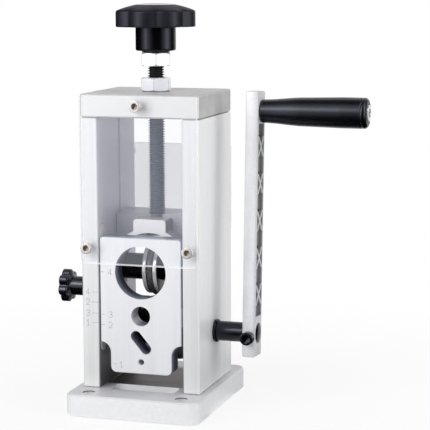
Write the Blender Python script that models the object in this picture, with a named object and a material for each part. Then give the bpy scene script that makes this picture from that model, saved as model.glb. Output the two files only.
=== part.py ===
"""Hand-cranked wire stripping machine, modelled piece by piece.

Units are metres and +Z is up. The origin is the middle of the base's underside.
The operator stands at -Y and feeds the wire along +Y. The crank is on the +X side.
"""
import bpy
import bmesh
from math import asin, cos, pi, radians, sin, sqrt, tau

mm = 0.001

# Clearances
fit = 0.3 * mm              # left between two pieces that touch
feed_side_gap = 0.9 * mm    # left between the feed plate's edge and each side plate

# Base plate
base_width = 84 * mm
base_depth = 101 * mm
base_thickness = 13.5 * mm
base_corner = 7 * mm
base_edge = 0.9 * mm
mounting_hole = 7.6 * mm
mounting_inset_x = 12.8 * mm
mounting_inset_y = 8.8 * mm
pocket_depth = 5 * mm
pocket_corner = 3 * mm
pocket_front_gap = 0.3 * mm
pocket_back_gap = 1.0 * mm
pocket_side_gap = 1.3 * mm

# Housing of two side plates and a top block
housing_setback = 20.3 * mm  # from the base's front edge to the housing's front
housing_width = 74 * mm
housing_depth = 64.6 * mm
side_thickness = 10.5 * mm
side_height = 164 * mm
top_thickness = 14 * mm
plate_edge = 0.5 * mm
block_edge = 0.9 * mm

# Clear covers
cover_thickness = 2.7 * mm
cover_inset = 0.6 * mm
cover_corner = 3 * mm
cover_top_corner = 1.5 * mm
front_cover_bottom = 90 * mm
rear_cover_bottom = 104 * mm
rear_cover_height = 52.6 * mm
cover_screw_inset = 5.3 * mm
front_cover_screw_rise = 10 * mm  # from the front cover's lower edge to its lower screws
top_screw_drop = 6.5 * mm
rear_screw_inset = 6 * mm

# Axes of the mechanism
axis_depth = 31.5 * mm       # from the housing's front to every shaft axis
shaft_height = 46.4 * mm
blade_height = 83.8 * mm

# Feed plate with its four wire holes
feed_thickness = 11.8 * mm
feed_setback = 0.2 * mm      # from the housing's front to the feed plate's face
feed_height = 82.3 * mm
feed_bottom = 23.9 * mm
feed_corner = 2 * mm
tongue_width = 38.8 * mm
tongue_corner = 3.5 * mm
tongue_height = 12.1 * mm      # straight flanks, from the plate's lower edge
hole_large = 32 * mm
hole_large_height = 61.5 * mm
hole_medium = 12 * mm
hole_medium_height = 35.2 * mm
slot_width = 6.6 * mm
slot_run = 9.7 * mm         # between the centres of the slot's round ends
slot_angle = radians(-50)
slot_height = 19.2 * mm
hole_small = 3.3 * mm
hole_small_height = 7.1 * mm
hole_small_mouth = 4.3 * mm
hole_chamfer = 0.4 * mm

# Clamp of the feed plate, in the left side plate
strip_slot_width = 7 * mm
strip_slot_depth = 3.5 * mm
strip_slot_bottom = 35.5 * mm
strip_slot_top = 113.6 * mm
stud_diameter = 6 * mm
clamp_knob_diameter = 20 * mm
clamp_knob_length = 6.6 * mm
clamp_lobes = 7
clamp_lobe_depth = 2.2 * mm
clamp_knob_turn = radians(-3)
clamp_hub_diameter = 11.5 * mm
clamp_hub_length = 8.2 * mm

# Drive shaft, roller and bushes
shaft_diameter = 12 * mm
bush_wall = 1.5 * mm
bush_length = 8 * mm
shaft_ring_wall = 0.8 * mm
shaft_ring_width = 1.5 * mm
roller_diameter = 22 * mm
roller_width = 13.2 * mm
roller_teeth = 32
tooth_depth = 0.6 * mm
flange_diameter = 37.8 * mm
flange_width = 10.1 * mm
flange_edge = 0.8 * mm
spacer_diameter = 18 * mm
key_width = 4 * mm
key_height = 4 * mm
key_sink = 2.2 * mm          # how deep the key lies in the shaft

# Crank arm and handle
crank_tilt = radians(3.35)   # the arm leans back from upright
arm_gap = 19 * mm            # from the right side plate to the arm
arm_thickness = 8 * mm
arm_width = 15.3 * mm
arm_below = 14 * mm          # from the shaft's centre to the lower end
arm_above = 145.9 * mm       # from the shaft's centre to the upper end
arm_edge = 1.0 * mm
crank_radius = 134 * mm
arm_floor = 2.4 * mm         # left behind the ribs
web_depth = 2.2 * mm         # how far the webs between the crosses lie below the rim
pocket_rim = 1.6 * mm
rib_thickness = 1.3 * mm
rib_pitch = 22.35 * mm
rib_height = 15 * mm
rib_first = 23.4 * mm        # from the shaft's centre to the first crossing
rib_count = 5
shaft_end_recess = 1.6 * mm
clamp_screw_diameter = 5 * mm
clamp_head_diameter = 8.5 * mm
clamp_head_height = 5 * mm
clamp_screw_drop = 2 * mm     # below the shaft's centre
grip_length = 64.6 * mm
grip_small = 14 * mm
grip_middle = 17.2 * mm
grip_large = 18.4 * mm
grip_taper = 27 * mm
grip_round = 2.6 * mm
grip_ring = 3.4 * mm         # from the grip's end to its ring groove
spindle_diameter = 8 * mm
spindle_thread = 6 * mm
spindle_head = 10 * mm
spindle_head_height = 3 * mm
spindle_head_proud = 0.7 * mm

# Blade carriage, its heights taken from the blade's axis
arch_outer = 26 * mm
arch_inner = 23.2 * mm
arch_front = 14.5 * mm       # in front of the axis
arch_back = 8.5 * mm         # behind the axis
leg_bottom = -11.8 * mm
spacer_seat_depth = 0.4 * mm  # faced into each leg for the blade's spacers
boss_width = 20.6 * mm
boss_round = 2.0 * mm
boss_top = 31.3 * mm
bar_front = 1.5 * mm         # in front of the axis
bar_back = 22.5 * mm         # behind the axis
bar_bottom = 18.2 * mm
carriage_top = 33.2 * mm
bar_side_gap = 0.6 * mm
guide_groove_width = 3.2 * mm
guide_groove_depth = 2.5 * mm
guide_groove_offset = 5.7 * mm  # behind the axis
guide_key_width = 2.6 * mm
guide_key_depth = 1.9 * mm
ring_seat = 25.2 * mm

# Blade wheel
axle_diameter = 8 * mm
blade_spacer_diameter = 16 * mm
blade_diameter = 34 * mm
blade_thickness = 3.4 * mm
blade_bevel = 1.0 * mm
blade_edge = 0.3 * mm
side_ring_diameter = 32.2 * mm
side_ring_width = 2.7 * mm
side_ring_edge = 0.4 * mm

# Adjusting screw, its nuts and its knob
screw_diameter = 10 * mm
journal_diameter = 7.4 * mm
ring_groove_diameter = 6 * mm
ring_diameter = 12.4 * mm
ring_thickness = 1.2 * mm
journal_end = 1.5 * mm       # of the journal, below the retaining ring
nut_across_flats = 17 * mm
nut_height = 8 * mm
nut_edge = 0.7 * mm
nut_space = 7 * mm           # between the lock nut and the nut under the knob
lock_nut_turn = radians(40.5)
jam_nut_turn = radians(49.5)
knob_diameter = 50 * mm
knob_side = 9.8 * mm
knob_dome = 4.4 * mm
knob_lobes = 8
knob_lobe_depth = 2.6 * mm
knob_turn = radians(-3)
hub_diameter = 25 * mm
hub_height = 14.3 * mm
hub_collar_diameter = 17 * mm
hub_collar_height = 0.8 * mm
cap_diameter = 20 * mm
cap_thickness = 1.2 * mm
screw_in_knob = 11 * mm

# Fasteners
cover_screw_diameter = 4 * mm
cover_screw_length = 12 * mm
cover_head_diameter = 7 * mm
cover_head_height = 4 * mm
base_screw_diameter = 5 * mm
base_screw_length = 26 * mm
base_screw_spacing = 40 * mm
base_screw_head = 9.6 * mm
stud_length = 16 * mm

# Places that follow from the sizes above
housing_front = -base_depth / 2 + housing_setback
housing_back = housing_front + housing_depth
housing_middle = (housing_front + housing_back) / 2
housing_half = housing_width / 2
inner_half = housing_half - side_thickness
plate_middle = housing_half - side_thickness / 2
side_bottom = base_thickness + fit
block_bottom = base_thickness + side_height
side_top = block_bottom - fit
block_top = block_bottom + top_thickness
axis_y = housing_front + axis_depth
arm_inner = housing_half + arm_gap
arm_outer = arm_inner + arm_thickness
front_cover_back = housing_front - fit
front_cover_face = front_cover_back - cover_thickness
rear_cover_face = housing_back + fit + cover_thickness
front_cover_screw_height = front_cover_bottom + front_cover_screw_rise
feed_front = housing_front + feed_setback
strip_middle_y = feed_front + feed_thickness / 2
strip_middle_z = (strip_slot_bottom + strip_slot_top) / 2
feed_half = inner_half - feed_side_gap
spacer_face = arch_inner + spacer_seat_depth
lock_nut_bottom = block_top + fit
jam_nut_bottom = lock_nut_bottom + nut_height + nut_space
hub_bottom = jam_nut_bottom + nut_height + fit
knob_bottom = hub_bottom + hub_collar_height + hub_height
knob_shoulder = knob_bottom + knob_side

aim = {
    "+X": (0, pi / 2, 0),
    "-X": (0, -pi / 2, 0),
    "+Y": (-pi / 2, 0, 0),
    "-Y": (pi / 2, 0, 0),
    "+Z": (0, 0, 0),
    "-Z": (pi, 0, 0),
}


# Tools for making solids

def clear_scene():
    for old in list(bpy.data.objects):
        bpy.data.objects.remove(old, do_unlink=True)


def finish(name, colour, roughness, metallic):
    material = bpy.data.materials.new(name)
    material.use_nodes = True
    shader = material.node_tree.nodes["Principled BSDF"]
    shader.inputs["Base Color"].default_value = (*colour, 1.0)
    shader.inputs["Roughness"].default_value = roughness
    shader.inputs["Metallic"].default_value = metallic
    return material


def empty(name, location, rotation=(0, 0, 0), parent=None):
    holder = bpy.data.objects.new(name, None)
    holder.location = location
    holder.rotation_euler = rotation
    holder.parent = parent
    bpy.context.collection.objects.link(holder)
    return holder


def add_object(name, shape, material, parent=None, location=(0, 0, 0), rotation=(0, 0, 0)):
    """Turn a bmesh into a named object. Without a material it is a cutter."""
    bmesh.ops.recalc_face_normals(shape, faces=shape.faces)
    mesh = bpy.data.meshes.new(name)
    shape.to_mesh(mesh)
    shape.free()
    piece = bpy.data.objects.new(name, mesh)
    piece.parent = parent
    piece.location = location
    piece.rotation_euler = rotation
    bpy.context.collection.objects.link(piece)
    if material is None:
        piece.hide_render = True
        piece.display_type = "WIRE"
    else:
        mesh.materials.append(material)
    return piece


def smooth(piece, limit=radians(35)):
    piece.data.shade_smooth()
    piece.data.set_sharp_from_angle(angle=limit)


def cut(target, cutter):
    change = target.modifiers.new(cutter.name, "BOOLEAN")
    change.operation = "DIFFERENCE"
    change.solver = "EXACT"
    change.object = cutter


def weld(target, other):
    change = target.modifiers.new(other.name, "BOOLEAN")
    change.operation = "UNION"
    change.solver = "EXACT"
    change.object = other


def soften(piece, width, segments=1):
    change = piece.modifiers.new("edges", "BEVEL")
    change.width = width
    change.segments = segments
    change.limit_method = "ANGLE"
    change.angle_limit = radians(40)


def spread(axis, first, second, along):
    """Place an outline's two values and the value along its axis as x, y, z."""
    if axis == "X":
        return (along, first, second)
    if axis == "Y":
        return (first, along, second)
    return (first, second, along)


def prism(name, outline, low, high, axis, material, **placing):
    """Extrude a closed outline along X, Y or Z."""
    shape = bmesh.new()
    corners = [shape.verts.new(spread(axis, a, b, low)) for a, b in outline]
    face = shape.faces.new(corners)
    grown = bmesh.ops.extrude_face_region(shape, geom=[face])
    moved = [item for item in grown["geom"] if isinstance(item, bmesh.types.BMVert)]
    bmesh.ops.translate(shape, verts=moved, vec=spread(axis, 0, 0, high - low))
    return add_object(name, shape, material, **placing)


def box(name, low, high, material, **placing):
    outline = [(low[0], low[1]), (high[0], low[1]), (high[0], high[1]), (low[0], high[1])]
    return prism(name, outline, low[2], high[2], "Z", material, **placing)


def turned(name, profile, material, bored=False, steps=24, lobes=0, turn=0.0, **placing):
    """Turn a profile about its own +Z.

    Each profile point is (radius, height) or (radius, height, ripple). A ripple is how
    far the surface dips in the sharp valley between two round lobes, and turn is the
    angle of the first lobe's crest. A bored profile is a closed loop.
    """
    shape = bmesh.new()
    rings = []
    for point in profile:
        radius, height = point[:2]
        ripple = point[2] if len(point) > 2 else 0
        if radius == 0:
            rings.append([shape.verts.new((0, 0, height))])
            continue
        ring = []
        for step in range(steps):
            angle = tau * step / steps
            reach = radius - ripple * (1 - abs(cos(lobes * angle / 2)))
            ring.append(shape.verts.new((reach * cos(angle + turn), reach * sin(angle + turn), height)))
        rings.append(ring)
    pairs = list(zip(rings, rings[1:]))
    if bored:
        pairs.append((rings[-1], rings[0]))
    for lower, upper in pairs:
        for step in range(steps):
            after = (step + 1) % steps
            if len(lower) == 1:
                shape.faces.new((lower[0], upper[after], upper[step]))
            elif len(upper) == 1:
                shape.faces.new((lower[step], lower[after], upper[0]))
            else:
                shape.faces.new((lower[step], lower[after], upper[after], upper[step]))
    piece = add_object(name, shape, material, **placing)
    smooth(piece)
    return piece


def rod(name, diameter, low, high, material, steps=20, **placing):
    radius = diameter / 2
    profile = [(0, low), (radius, low), (radius, high), (0, high)]
    return turned(name, profile, material, steps=steps, **placing)


def ring(name, outer, inner, low, high, material, edge=0.0, steps=18, **placing):
    """A washer, sleeve or bush, with its outer edges chamfered by edge."""
    profile = [(inner / 2, low), (outer / 2 - edge, low)]
    if edge:
        profile += [(outer / 2, low + edge), (outer / 2, high - edge)]
    profile += [(outer / 2 - edge, high), (inner / 2, high)]
    return turned(name, profile, material, bored=True, steps=steps, **placing)


def arc(centre, radius, start, stop, steps=6):
    points = []
    for step in range(steps + 1):
        angle = start + (stop - start) * step / steps
        points.append((centre[0] + radius * cos(angle), centre[1] + radius * sin(angle)))
    return points


def rounded_rectangle(left, right, low, high, low_radius, high_radius, steps=4):
    """Outline with one radius for its two low corners and one for its two high corners."""
    outline = arc((left + low_radius, low + low_radius), low_radius, pi, 1.5 * pi, steps)
    outline += arc((right - low_radius, low + low_radius), low_radius, 1.5 * pi, tau, steps)
    outline += arc((right - high_radius, high - high_radius), high_radius, 0, pi / 2, steps)
    outline += arc((left + high_radius, high - high_radius), high_radius, pi / 2, pi, steps)
    return outline


def capsule(centre, run, width, angle, steps=10):
    """Outline of a slot with round ends, its length along angle."""
    reach_x = run / 2 * cos(angle)
    reach_y = run / 2 * sin(angle)
    far = (centre[0] + reach_x, centre[1] + reach_y)
    near = (centre[0] - reach_x, centre[1] - reach_y)
    outline = arc(far, width / 2, angle - pi / 2, angle + pi / 2, steps)
    outline += arc(near, width / 2, angle + pi / 2, angle + 1.5 * pi, steps)
    return outline


def hexagon(across_flats, turn=0.0):
    radius = across_flats / 2 / cos(pi / 6)
    return [(radius * cos(turn + k * tau / 6), radius * sin(turn + k * tau / 6)) for k in range(6)]


def inset(outline, distance):
    """Move every side of a convex anticlockwise outline inwards."""
    count = len(outline)
    lines = []
    for k in range(count):
        x0, y0 = outline[k]
        x1, y1 = outline[(k + 1) % count]
        length = sqrt((x1 - x0) ** 2 + (y1 - y0) ** 2)
        normal = (-(y1 - y0) / length, (x1 - x0) / length)
        lines.append((normal, normal[0] * x0 + normal[1] * y0 + distance))
    moved = []
    for k in range(count):
        (a, b), first = lines[k - 1]
        (c, d), second = lines[k]
        spin = a * d - b * c
        moved.append(((first * d - b * second) / spin, (a * second - first * c) / spin))
    return moved


def cap_screw(name, diameter, length, head_diameter, head_height, material, **placing):
    """Socket head screw: the head stands on +Z and the shank runs to -Z."""
    shank = diameter / 2
    head = head_diameter / 2
    edge = head_height * 0.12
    profile = [
        (0, -length),
        (shank, -length),
        (shank, 0),
        (head, 0),
        (head, head_height - edge),
        (head - edge, head_height),
        (0, head_height),
    ]
    screw = turned(name, profile, material, steps=12, **placing)
    socket = prism(
        name + "_socket", hexagon(head_diameter * 0.45), head_height * 0.45, head_height * 2, "Z", None,
        **placing)
    cut(screw, socket)
    return screw


def countersunk_screw(name, diameter, length, head_diameter, material, **placing):
    """Flat head screw: its flat face lies at 0, facing +Z, and the shank runs to -Z."""
    shank = diameter / 2
    head = head_diameter / 2
    rim = 0.3 * mm
    profile = [(0, -length), (shank, -length), (shank, shank - head - rim), (head, -rim), (head, 0), (0, 0)]
    screw = turned(name, profile, material, steps=12, **placing)
    socket = prism(name + "_socket", hexagon(diameter * 0.62), -diameter * 0.5, diameter, "Z", None, **placing)
    cut(screw, socket)
    return screw


def countersink(name, diameter, length, head_diameter, steps=12, **placing):
    """Cutter for a flat head screw, with a clearance all round."""
    shank = diameter / 2 + fit
    head = head_diameter / 2 + fit
    rim = 0.3 * mm
    above = 2 * mm
    profile = [
        (0, -length - fit),
        (shank, -length - fit),
        (shank, shank - head - rim),
        (head, -rim),
        (head, above),
        (0, above),
    ]
    return turned(name, profile, None, steps=steps, **placing)


def hex_nut(name, turn, bottom, material, **placing):
    """Hexagon nut about Z with chamfered corners and a bore that clears the screw."""
    nut = prism(name, hexagon(nut_across_flats, turn), bottom, bottom + nut_height, "Z", material, **placing)
    corner = nut_across_flats / 2 / cos(pi / 6)
    flat = nut_across_flats / 2 * 0.97
    high = bottom + nut_height
    above = 1 * mm
    for side, (face, far) in enumerate(((bottom, bottom - above), (high, high + above))):
        inward = nut_edge if face == bottom else -nut_edge
        rim = corner + above
        rise = inward * (rim - flat) / (corner - flat)
        profile = [(flat, face), (rim, face + rise), (rim, far), (flat, far)]
        cut(nut, turned(name + "_chamfer_%d" % side, profile, None, bored=True, steps=24, **placing))
    bore = screw_diameter + 2 * fit
    cut(nut, rod(name + "_bore", bore, bottom - above, high + above, None, steps=24, **placing))
    return nut


# Housing

def make_base():
    half_x = base_width / 2
    half_y = base_depth / 2
    levels = [(0, base_edge), (base_edge, 0), (base_thickness - base_edge, 0), (base_thickness, base_edge)]
    shape = bmesh.new()
    loops = []
    for height, shrink in levels:
        radius = base_corner - shrink
        outline = rounded_rectangle(
            shrink - half_x, half_x - shrink, shrink - half_y, half_y - shrink, radius, radius)
        loops.append([shape.verts.new((x, y, height)) for x, y in outline])
    shape.faces.new(loops[0])
    shape.faces.new(loops[-1])
    for lower, upper in zip(loops, loops[1:]):
        for k in range(len(lower)):
            after = (k + 1) % len(lower)
            shape.faces.new((lower[k], lower[after], upper[after], upper[k]))
    base = add_object("base_plate", shape, aluminium)
    smooth(base)
    reach_x = half_x - mounting_inset_x
    reach_y = half_y - mounting_inset_y
    below = -1 * mm
    above = base_thickness + 1 * mm
    for number, (sx, sy) in enumerate(((-1, -1), (1, -1), (-1, 1), (1, 1)), 1):
        place = (sx * reach_x, sy * reach_y, 0)
        cut(base, rod("mounting_hole_%d" % number, mounting_hole, below, above, None, location=place))
    pocket_half = tongue_width / 2 + pocket_side_gap
    outline = rounded_rectangle(
        -pocket_half, pocket_half, housing_front - pocket_front_gap,
        housing_front + feed_thickness + pocket_back_gap, pocket_corner, pocket_corner, steps=4)
    cut(base, prism("tongue_pocket", outline, base_thickness - pocket_depth, above, "Z", None))
    return base


def base_screw_places():
    places = []
    for sx in (-1, 1):
        for sy in (-1, 1):
            places.append((sx * plate_middle, housing_middle + sy * base_screw_spacing / 2))
    return places


def make_side_plate(side, name):
    """One side plate. The left one is side -1 and the right one is side 1."""
    inner = side * inner_half
    outer = side * housing_half
    low = min(inner, outer)
    high = max(inner, outer)
    plate = box(name, (low, housing_front, side_bottom), (high, housing_back, side_top), brushed)
    soften(plate, plate_edge)
    beyond = 2 * mm
    groove_y = axis_y + guide_groove_offset
    groove_low = min(inner - side * beyond, inner + side * guide_groove_depth)
    groove_high = max(inner - side * beyond, inner + side * guide_groove_depth)
    cut(plate, box(
        name + "_guide_groove",
        (groove_low, groove_y - guide_groove_width / 2, side_bottom - beyond),
        (groove_high, groove_y + guide_groove_width / 2, side_top + beyond),
        None))
    bush_bore = shaft_diameter + 2 * fit + 2 * bush_wall + 2 * fit
    bush_floor = side * (inner_half + bush_length + fit)
    past = inner - side * beyond
    cut(plate, rod(
        name + "_bush_bore", bush_bore, min(past, bush_floor), max(past, bush_floor), None, steps=24,
        location=(0, axis_y, shaft_height), rotation=aim["+X"]))
    return plate


def make_sides():
    left = make_side_plate(-1, "left_side_plate")
    right = make_side_plate(1, "right_side_plate")
    cut(right, rod(
        "shaft_exit", shaft_diameter + 4 * fit, inner_half, housing_half + 2 * mm, None, steps=24,
        location=(0, axis_y, shaft_height), rotation=aim["+X"]))
    run = strip_slot_top - strip_slot_bottom - strip_slot_width
    outline = capsule((strip_middle_y, strip_middle_z), run, strip_slot_width, pi / 2)
    floor = -inner_half - strip_slot_depth
    cut(left, prism("strip_pocket", outline, floor, -inner_half + 2 * mm, "X", None))
    cut(left, rod(
        "stud_bore", stud_diameter + 2 * fit, -housing_half - 2 * mm, floor + 1 * mm, None,
        location=(0, strip_middle_y, strip_middle_z), rotation=aim["+X"]))
    depth = base_screw_length - base_thickness + fit
    for number, (x, y) in enumerate(base_screw_places(), 1):
        plate = left if x < 0 else right
        bore = base_screw_diameter + 2 * fit
        cut(plate, rod(
            "base_thread_%d" % number, bore, side_bottom - 1 * mm, base_thickness + depth, None,
            steps=12, location=(x, y, 0)))
        cut(plate, rod(
            "stud_thread_%d" % number, bore, side_top - stud_length / 2 - fit, side_top + 1 * mm, None,
            steps=12, location=(x, y, 0)))
    for number, (sx, plate) in enumerate(((-1, left), (1, right)), 1):
        x = sx * (housing_half - cover_screw_inset)
        drill_cover_thread(plate, "front_thread_%d" % number, x, front_cover_screw_height, -1)
        for row, z in enumerate(rear_screw_heights(), 1):
            drill_cover_thread(plate, "rear_thread_%d_%d" % (number, row), x, z, 1)
    return left, right


def drill_cover_thread(target, name, x, z, facing):
    """Blind hole for a cover screw in the housing's front, facing -1, or back, facing 1."""
    face = housing_front if facing < 0 else housing_back
    depth = cover_screw_length - cover_thickness - fit
    direction = aim["+Y"] if facing > 0 else aim["-Y"]
    bore = cover_screw_diameter + 2 * fit
    cut(target, rod(name, bore, -depth, 1 * mm, None, steps=12, location=(x, face, z), rotation=direction))


def rear_screw_heights():
    low = rear_cover_bottom + rear_screw_inset
    high = rear_cover_bottom + rear_cover_height - rear_screw_inset
    return low, high


def make_top_block():
    block = box(
        "top_block", (-housing_half, housing_front, block_bottom), (housing_half, housing_back, block_top),
        machined)
    soften(block, block_edge)
    bore = screw_diameter + 2 * fit
    cut(block, rod(
        "top_block_bore", bore, block_bottom - 1 * mm, block_top + 1 * mm, None, steps=24,
        location=(0, axis_y, 0)))
    for number, (x, y) in enumerate(base_screw_places(), 1):
        cut(block, rod(
            "block_stud_bore_%d" % number, base_screw_diameter + 2 * fit, block_bottom - 1 * mm,
            block_bottom + stud_length / 2, None, steps=12, location=(x, y, 0)))
    drill_cover_thread(block, "top_thread", 0, block_top - top_screw_drop, -1)
    return block


def cover_outline(low, high):
    half = housing_half - cover_inset
    return rounded_rectangle(-half, half, low, high, cover_corner, cover_top_corner)


def make_covers():
    screw_x = housing_half - cover_screw_inset
    outline = cover_outline(front_cover_bottom, block_top - cover_inset)
    front = prism("front_cover", outline, front_cover_face, front_cover_back, "Y", clear)
    front_screws = {
        "top": (0, block_top - top_screw_drop),
        "left": (-screw_x, front_cover_screw_height),
        "right": (screw_x, front_cover_screw_height),
    }
    for place, (x, z) in front_screws.items():
        add_cover_screw(front, "front_cover_screw_" + place, x, front_cover_face, z, "-Y")
    outline = rounded_rectangle(
        -housing_half + cover_inset, housing_half - cover_inset, rear_cover_bottom,
        rear_cover_bottom + rear_cover_height, cover_top_corner, cover_top_corner)
    rear = prism("rear_cover", outline, housing_back + fit, rear_cover_face, "Y", clear)
    number = 1
    for z in rear_screw_heights():
        for x in (-screw_x, screw_x):
            add_cover_screw(rear, "rear_cover_screw_%d" % number, x, rear_cover_face, z, "+Y")
            number += 1


def add_cover_screw(cover, name, x, face, z, facing):
    """A cover screw and its hole. Its head stands just off the cover's face."""
    outward = -fit if facing == "-Y" else fit
    hole = cover_screw_diameter + 2 * fit
    cut(cover, rod(
        name + "_hole", hole, -cover_thickness - 1 * mm, 1 * mm, None, steps=12,
        location=(x, face, z), rotation=aim[facing]))
    cap_screw(
        name, cover_screw_diameter, cover_screw_length, cover_head_diameter, cover_head_height, steel,
        location=(x, face + outward, z), rotation=aim[facing])


def make_housing_fasteners(base):
    for number, (x, y) in enumerate(base_screw_places(), 1):
        cut(base, countersink(
            "base_countersink_%d" % number, base_screw_diameter, base_screw_length, base_screw_head,
            location=(x, y, fit), rotation=aim["-Z"]))
        countersunk_screw(
            "base_screw_%d" % number, base_screw_diameter, base_screw_length, base_screw_head, steel,
            location=(x, y, fit), rotation=aim["-Z"])
        half = stud_length / 2 - fit
        rod("top_block_stud_%d" % number, base_screw_diameter, -half, half, steel, steps=12,
            location=(x, y, block_bottom))


# Feed plate and its clamp

def make_feed_plate():
    """The plate is drawn about its own lower edge and its front face."""
    holder = empty("feed_plate_slide", (0, feed_front, feed_bottom))
    tongue = tongue_width / 2
    notch = feed_half - tongue
    outline = arc((-tongue + tongue_corner, tongue_corner), tongue_corner, pi, 1.5 * pi)
    outline += arc((tongue - tongue_corner, tongue_corner), tongue_corner, 1.5 * pi, tau)
    outline += arc((feed_half, tongue_height), notch, pi, pi / 2)
    outline += arc((feed_half - feed_corner, feed_height - feed_corner), feed_corner, 0, pi / 2, 4)
    outline += arc((feed_corner - feed_half, feed_height - feed_corner), feed_corner, pi / 2, pi, 4)
    outline += arc((-feed_half, tongue_height), notch, pi / 2, 0)
    plate = prism("feed_plate", outline, 0, feed_thickness, "Y", machined, parent=holder)
    soften(plate, hole_chamfer)
    deep = feed_thickness + 1 * mm
    for name, diameter, height, steps in (
            ("large_hole", hole_large, hole_large_height, 48),
            ("medium_hole", hole_medium, hole_medium_height, 32),
            ("small_hole", hole_small, hole_small_height, 16)):
        cut(plate, rod(
            name, diameter, -1 * mm, deep, None, steps=steps, parent=holder,
            location=(0, 0, height), rotation=aim["+Y"]))
    mouth = [
        (0, -1 * mm),
        (hole_small_mouth / 2 + 1 * mm, -1 * mm),
        (hole_small / 2 - 0.2 * mm, (hole_small_mouth - hole_small) / 2 + 0.2 * mm),
        (0, (hole_small_mouth - hole_small) / 2 + 0.2 * mm),
    ]
    cut(plate, turned(
        "small_hole_mouth", mouth, None, steps=16, parent=holder,
        location=(0, 0, hole_small_height), rotation=aim["+Y"]))
    slot = capsule((0, slot_height), slot_run, slot_width, slot_angle)
    cut(plate, prism("wire_slot", slot, -1 * mm, deep, "Y", None, parent=holder))
    return plate


def make_clamp():
    """Nylon strip in the left side plate, pressed on the feed plate by a knob and stud."""
    width = strip_slot_width - 2 * fit
    run = strip_slot_top - strip_slot_bottom - strip_slot_width
    outline = capsule((strip_middle_y, strip_middle_z), run, width, pi / 2)
    strip_back = -inner_half - strip_slot_depth + fit
    strip = prism("clamp_strip", outline, strip_back, -feed_half - fit, "X", nylon)
    smooth(strip)
    holder = empty("clamp_knob_axis", (-housing_half, strip_middle_y, strip_middle_z), aim["-X"])
    knob_low = fit
    neck = knob_low + clamp_hub_length
    knob_far = neck + clamp_knob_length
    stud_top = knob_far - 4 * mm
    stud_bottom = -housing_half - strip_back + fit
    rod("clamp_stud", stud_diameter, stud_bottom, stud_top, steel, parent=holder)
    hub = clamp_hub_diameter / 2
    head = clamp_knob_diameter / 2
    dip = clamp_lobe_depth
    slope = 0.6 * mm
    lip = 0.7 * mm
    bore = stud_diameter / 2 + fit
    profile = [
        (0, stud_top + fit),
        (bore, stud_top + fit),
        (bore, knob_low),
        (hub, knob_low),
        (hub, neck),
        (head - lip, neck + slope, dip),
        (head, neck + slope + lip, dip),
        (head, knob_far - slope - lip, dip),
        (head - lip, knob_far - slope, dip),
        (hub, knob_far - 0.3 * slope),
        (0, knob_far),
    ]
    turned(
        "clamp_knob", profile, black_plastic, steps=clamp_lobes * 6, lobes=clamp_lobes,
        turn=clamp_knob_turn, parent=holder)


# Drive shaft and roller

def make_drive(crank):
    """Shaft, knurled roller and flanges, drawn about the shaft's axis along +X."""
    along = aim["+X"]
    shaft_low = -inner_half - bush_length + fit
    shaft_high = arm_outer - shaft_end_recess
    radius = shaft_diameter / 2
    edge = 0.8 * mm
    profile = [
        (0, shaft_low),
        (radius - edge, shaft_low),
        (radius, shaft_low + edge),
        (radius, shaft_high - edge),
        (radius - edge, shaft_high),
        (0, shaft_high),
    ]
    shaft = turned("drive_shaft", profile, black_steel, steps=20, parent=crank, rotation=along)
    bore = shaft_diameter + 2 * fit
    half = roller_width / 2
    tooth_top = roller_diameter / 2
    profile = [
        (bore / 2, -half),
        (tooth_top - tooth_depth, -half),
        (tooth_top, -half + tooth_depth, tooth_depth),
        (tooth_top, half - tooth_depth, tooth_depth),
        (tooth_top - tooth_depth, half),
        (bore / 2, half),
    ]
    roller = turned(
        "drive_roller", profile, black_steel, bored=True, steps=roller_teeth * 2, lobes=roller_teeth,
        parent=crank, rotation=along)
    near = half + fit
    far = near + flange_width
    flanges = []
    for side, name in ((-1, "left"), (1, "right")):
        low = min(side * near, side * far)
        high = max(side * near, side * far)
        flange = ring(
            "roller_flange_" + name, flange_diameter, bore, low, high, black_steel, edge=flange_edge, steps=28,
            parent=crank, rotation=along)
        flanges.append(flange)
        low = min(side * (far + fit), side * (inner_half - fit))
        high = max(side * (far + fit), side * (inner_half - fit))
        ring("shaft_spacer_" + name, spacer_diameter, bore, low, high, steel, parent=crank, rotation=along)
    key_reach = far - 2 * mm
    bottom = radius - key_sink
    top = bottom + key_height
    wide = key_width / 2
    box("roller_key", (-key_reach, -wide, bottom), (key_reach, wide, top), steel, parent=crank)
    seat = box(
        "shaft_keyway", (-key_reach - fit, -wide - fit, bottom - fit),
        (key_reach + fit, wide + fit, top + 1 * mm), None, parent=crank)
    cut(shaft, seat)
    way = box(
        "roller_keyway", (-far - 1 * mm, -wide - fit, 0), (far + 1 * mm, wide + fit, top + fit), None,
        parent=crank)
    for piece in [roller] + flanges:
        cut(piece, way)


def make_bushes():
    """Two plain bushes, each let into a side plate from the inside."""
    inner = shaft_diameter + 2 * fit
    outer = inner + 2 * bush_wall
    for side, name in ((-1, "left"), (1, "right")):
        near = side * (inner_half + fit)
        far = side * (inner_half + bush_length)
        ring("shaft_bush_" + name, outer, inner, min(near, far), max(near, far), bronze,
             location=(0, axis_y, shaft_height), rotation=aim["+X"])


def make_shaft_ring(crank):
    inner = shaft_diameter + 2 * fit
    low = housing_half + fit
    ring("shaft_ring", inner + 2 * shaft_ring_wall, inner, low, low + shaft_ring_width, black_steel,
         parent=crank, rotation=aim["+X"])


# Crank arm and handle

def cross_pockets(middle, half_width):
    """The four three-sided pockets that leave one pair of crossed ribs standing."""
    half = rib_height / 2
    centre = (0, middle)
    corners = [
        (-half_width, middle - half),
        (half_width, middle - half),
        (half_width, middle + half),
        (-half_width, middle + half),
    ]
    return [inset([corners[k - 1], corners[k], centre], rib_thickness / 2) for k in range(4)]


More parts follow.
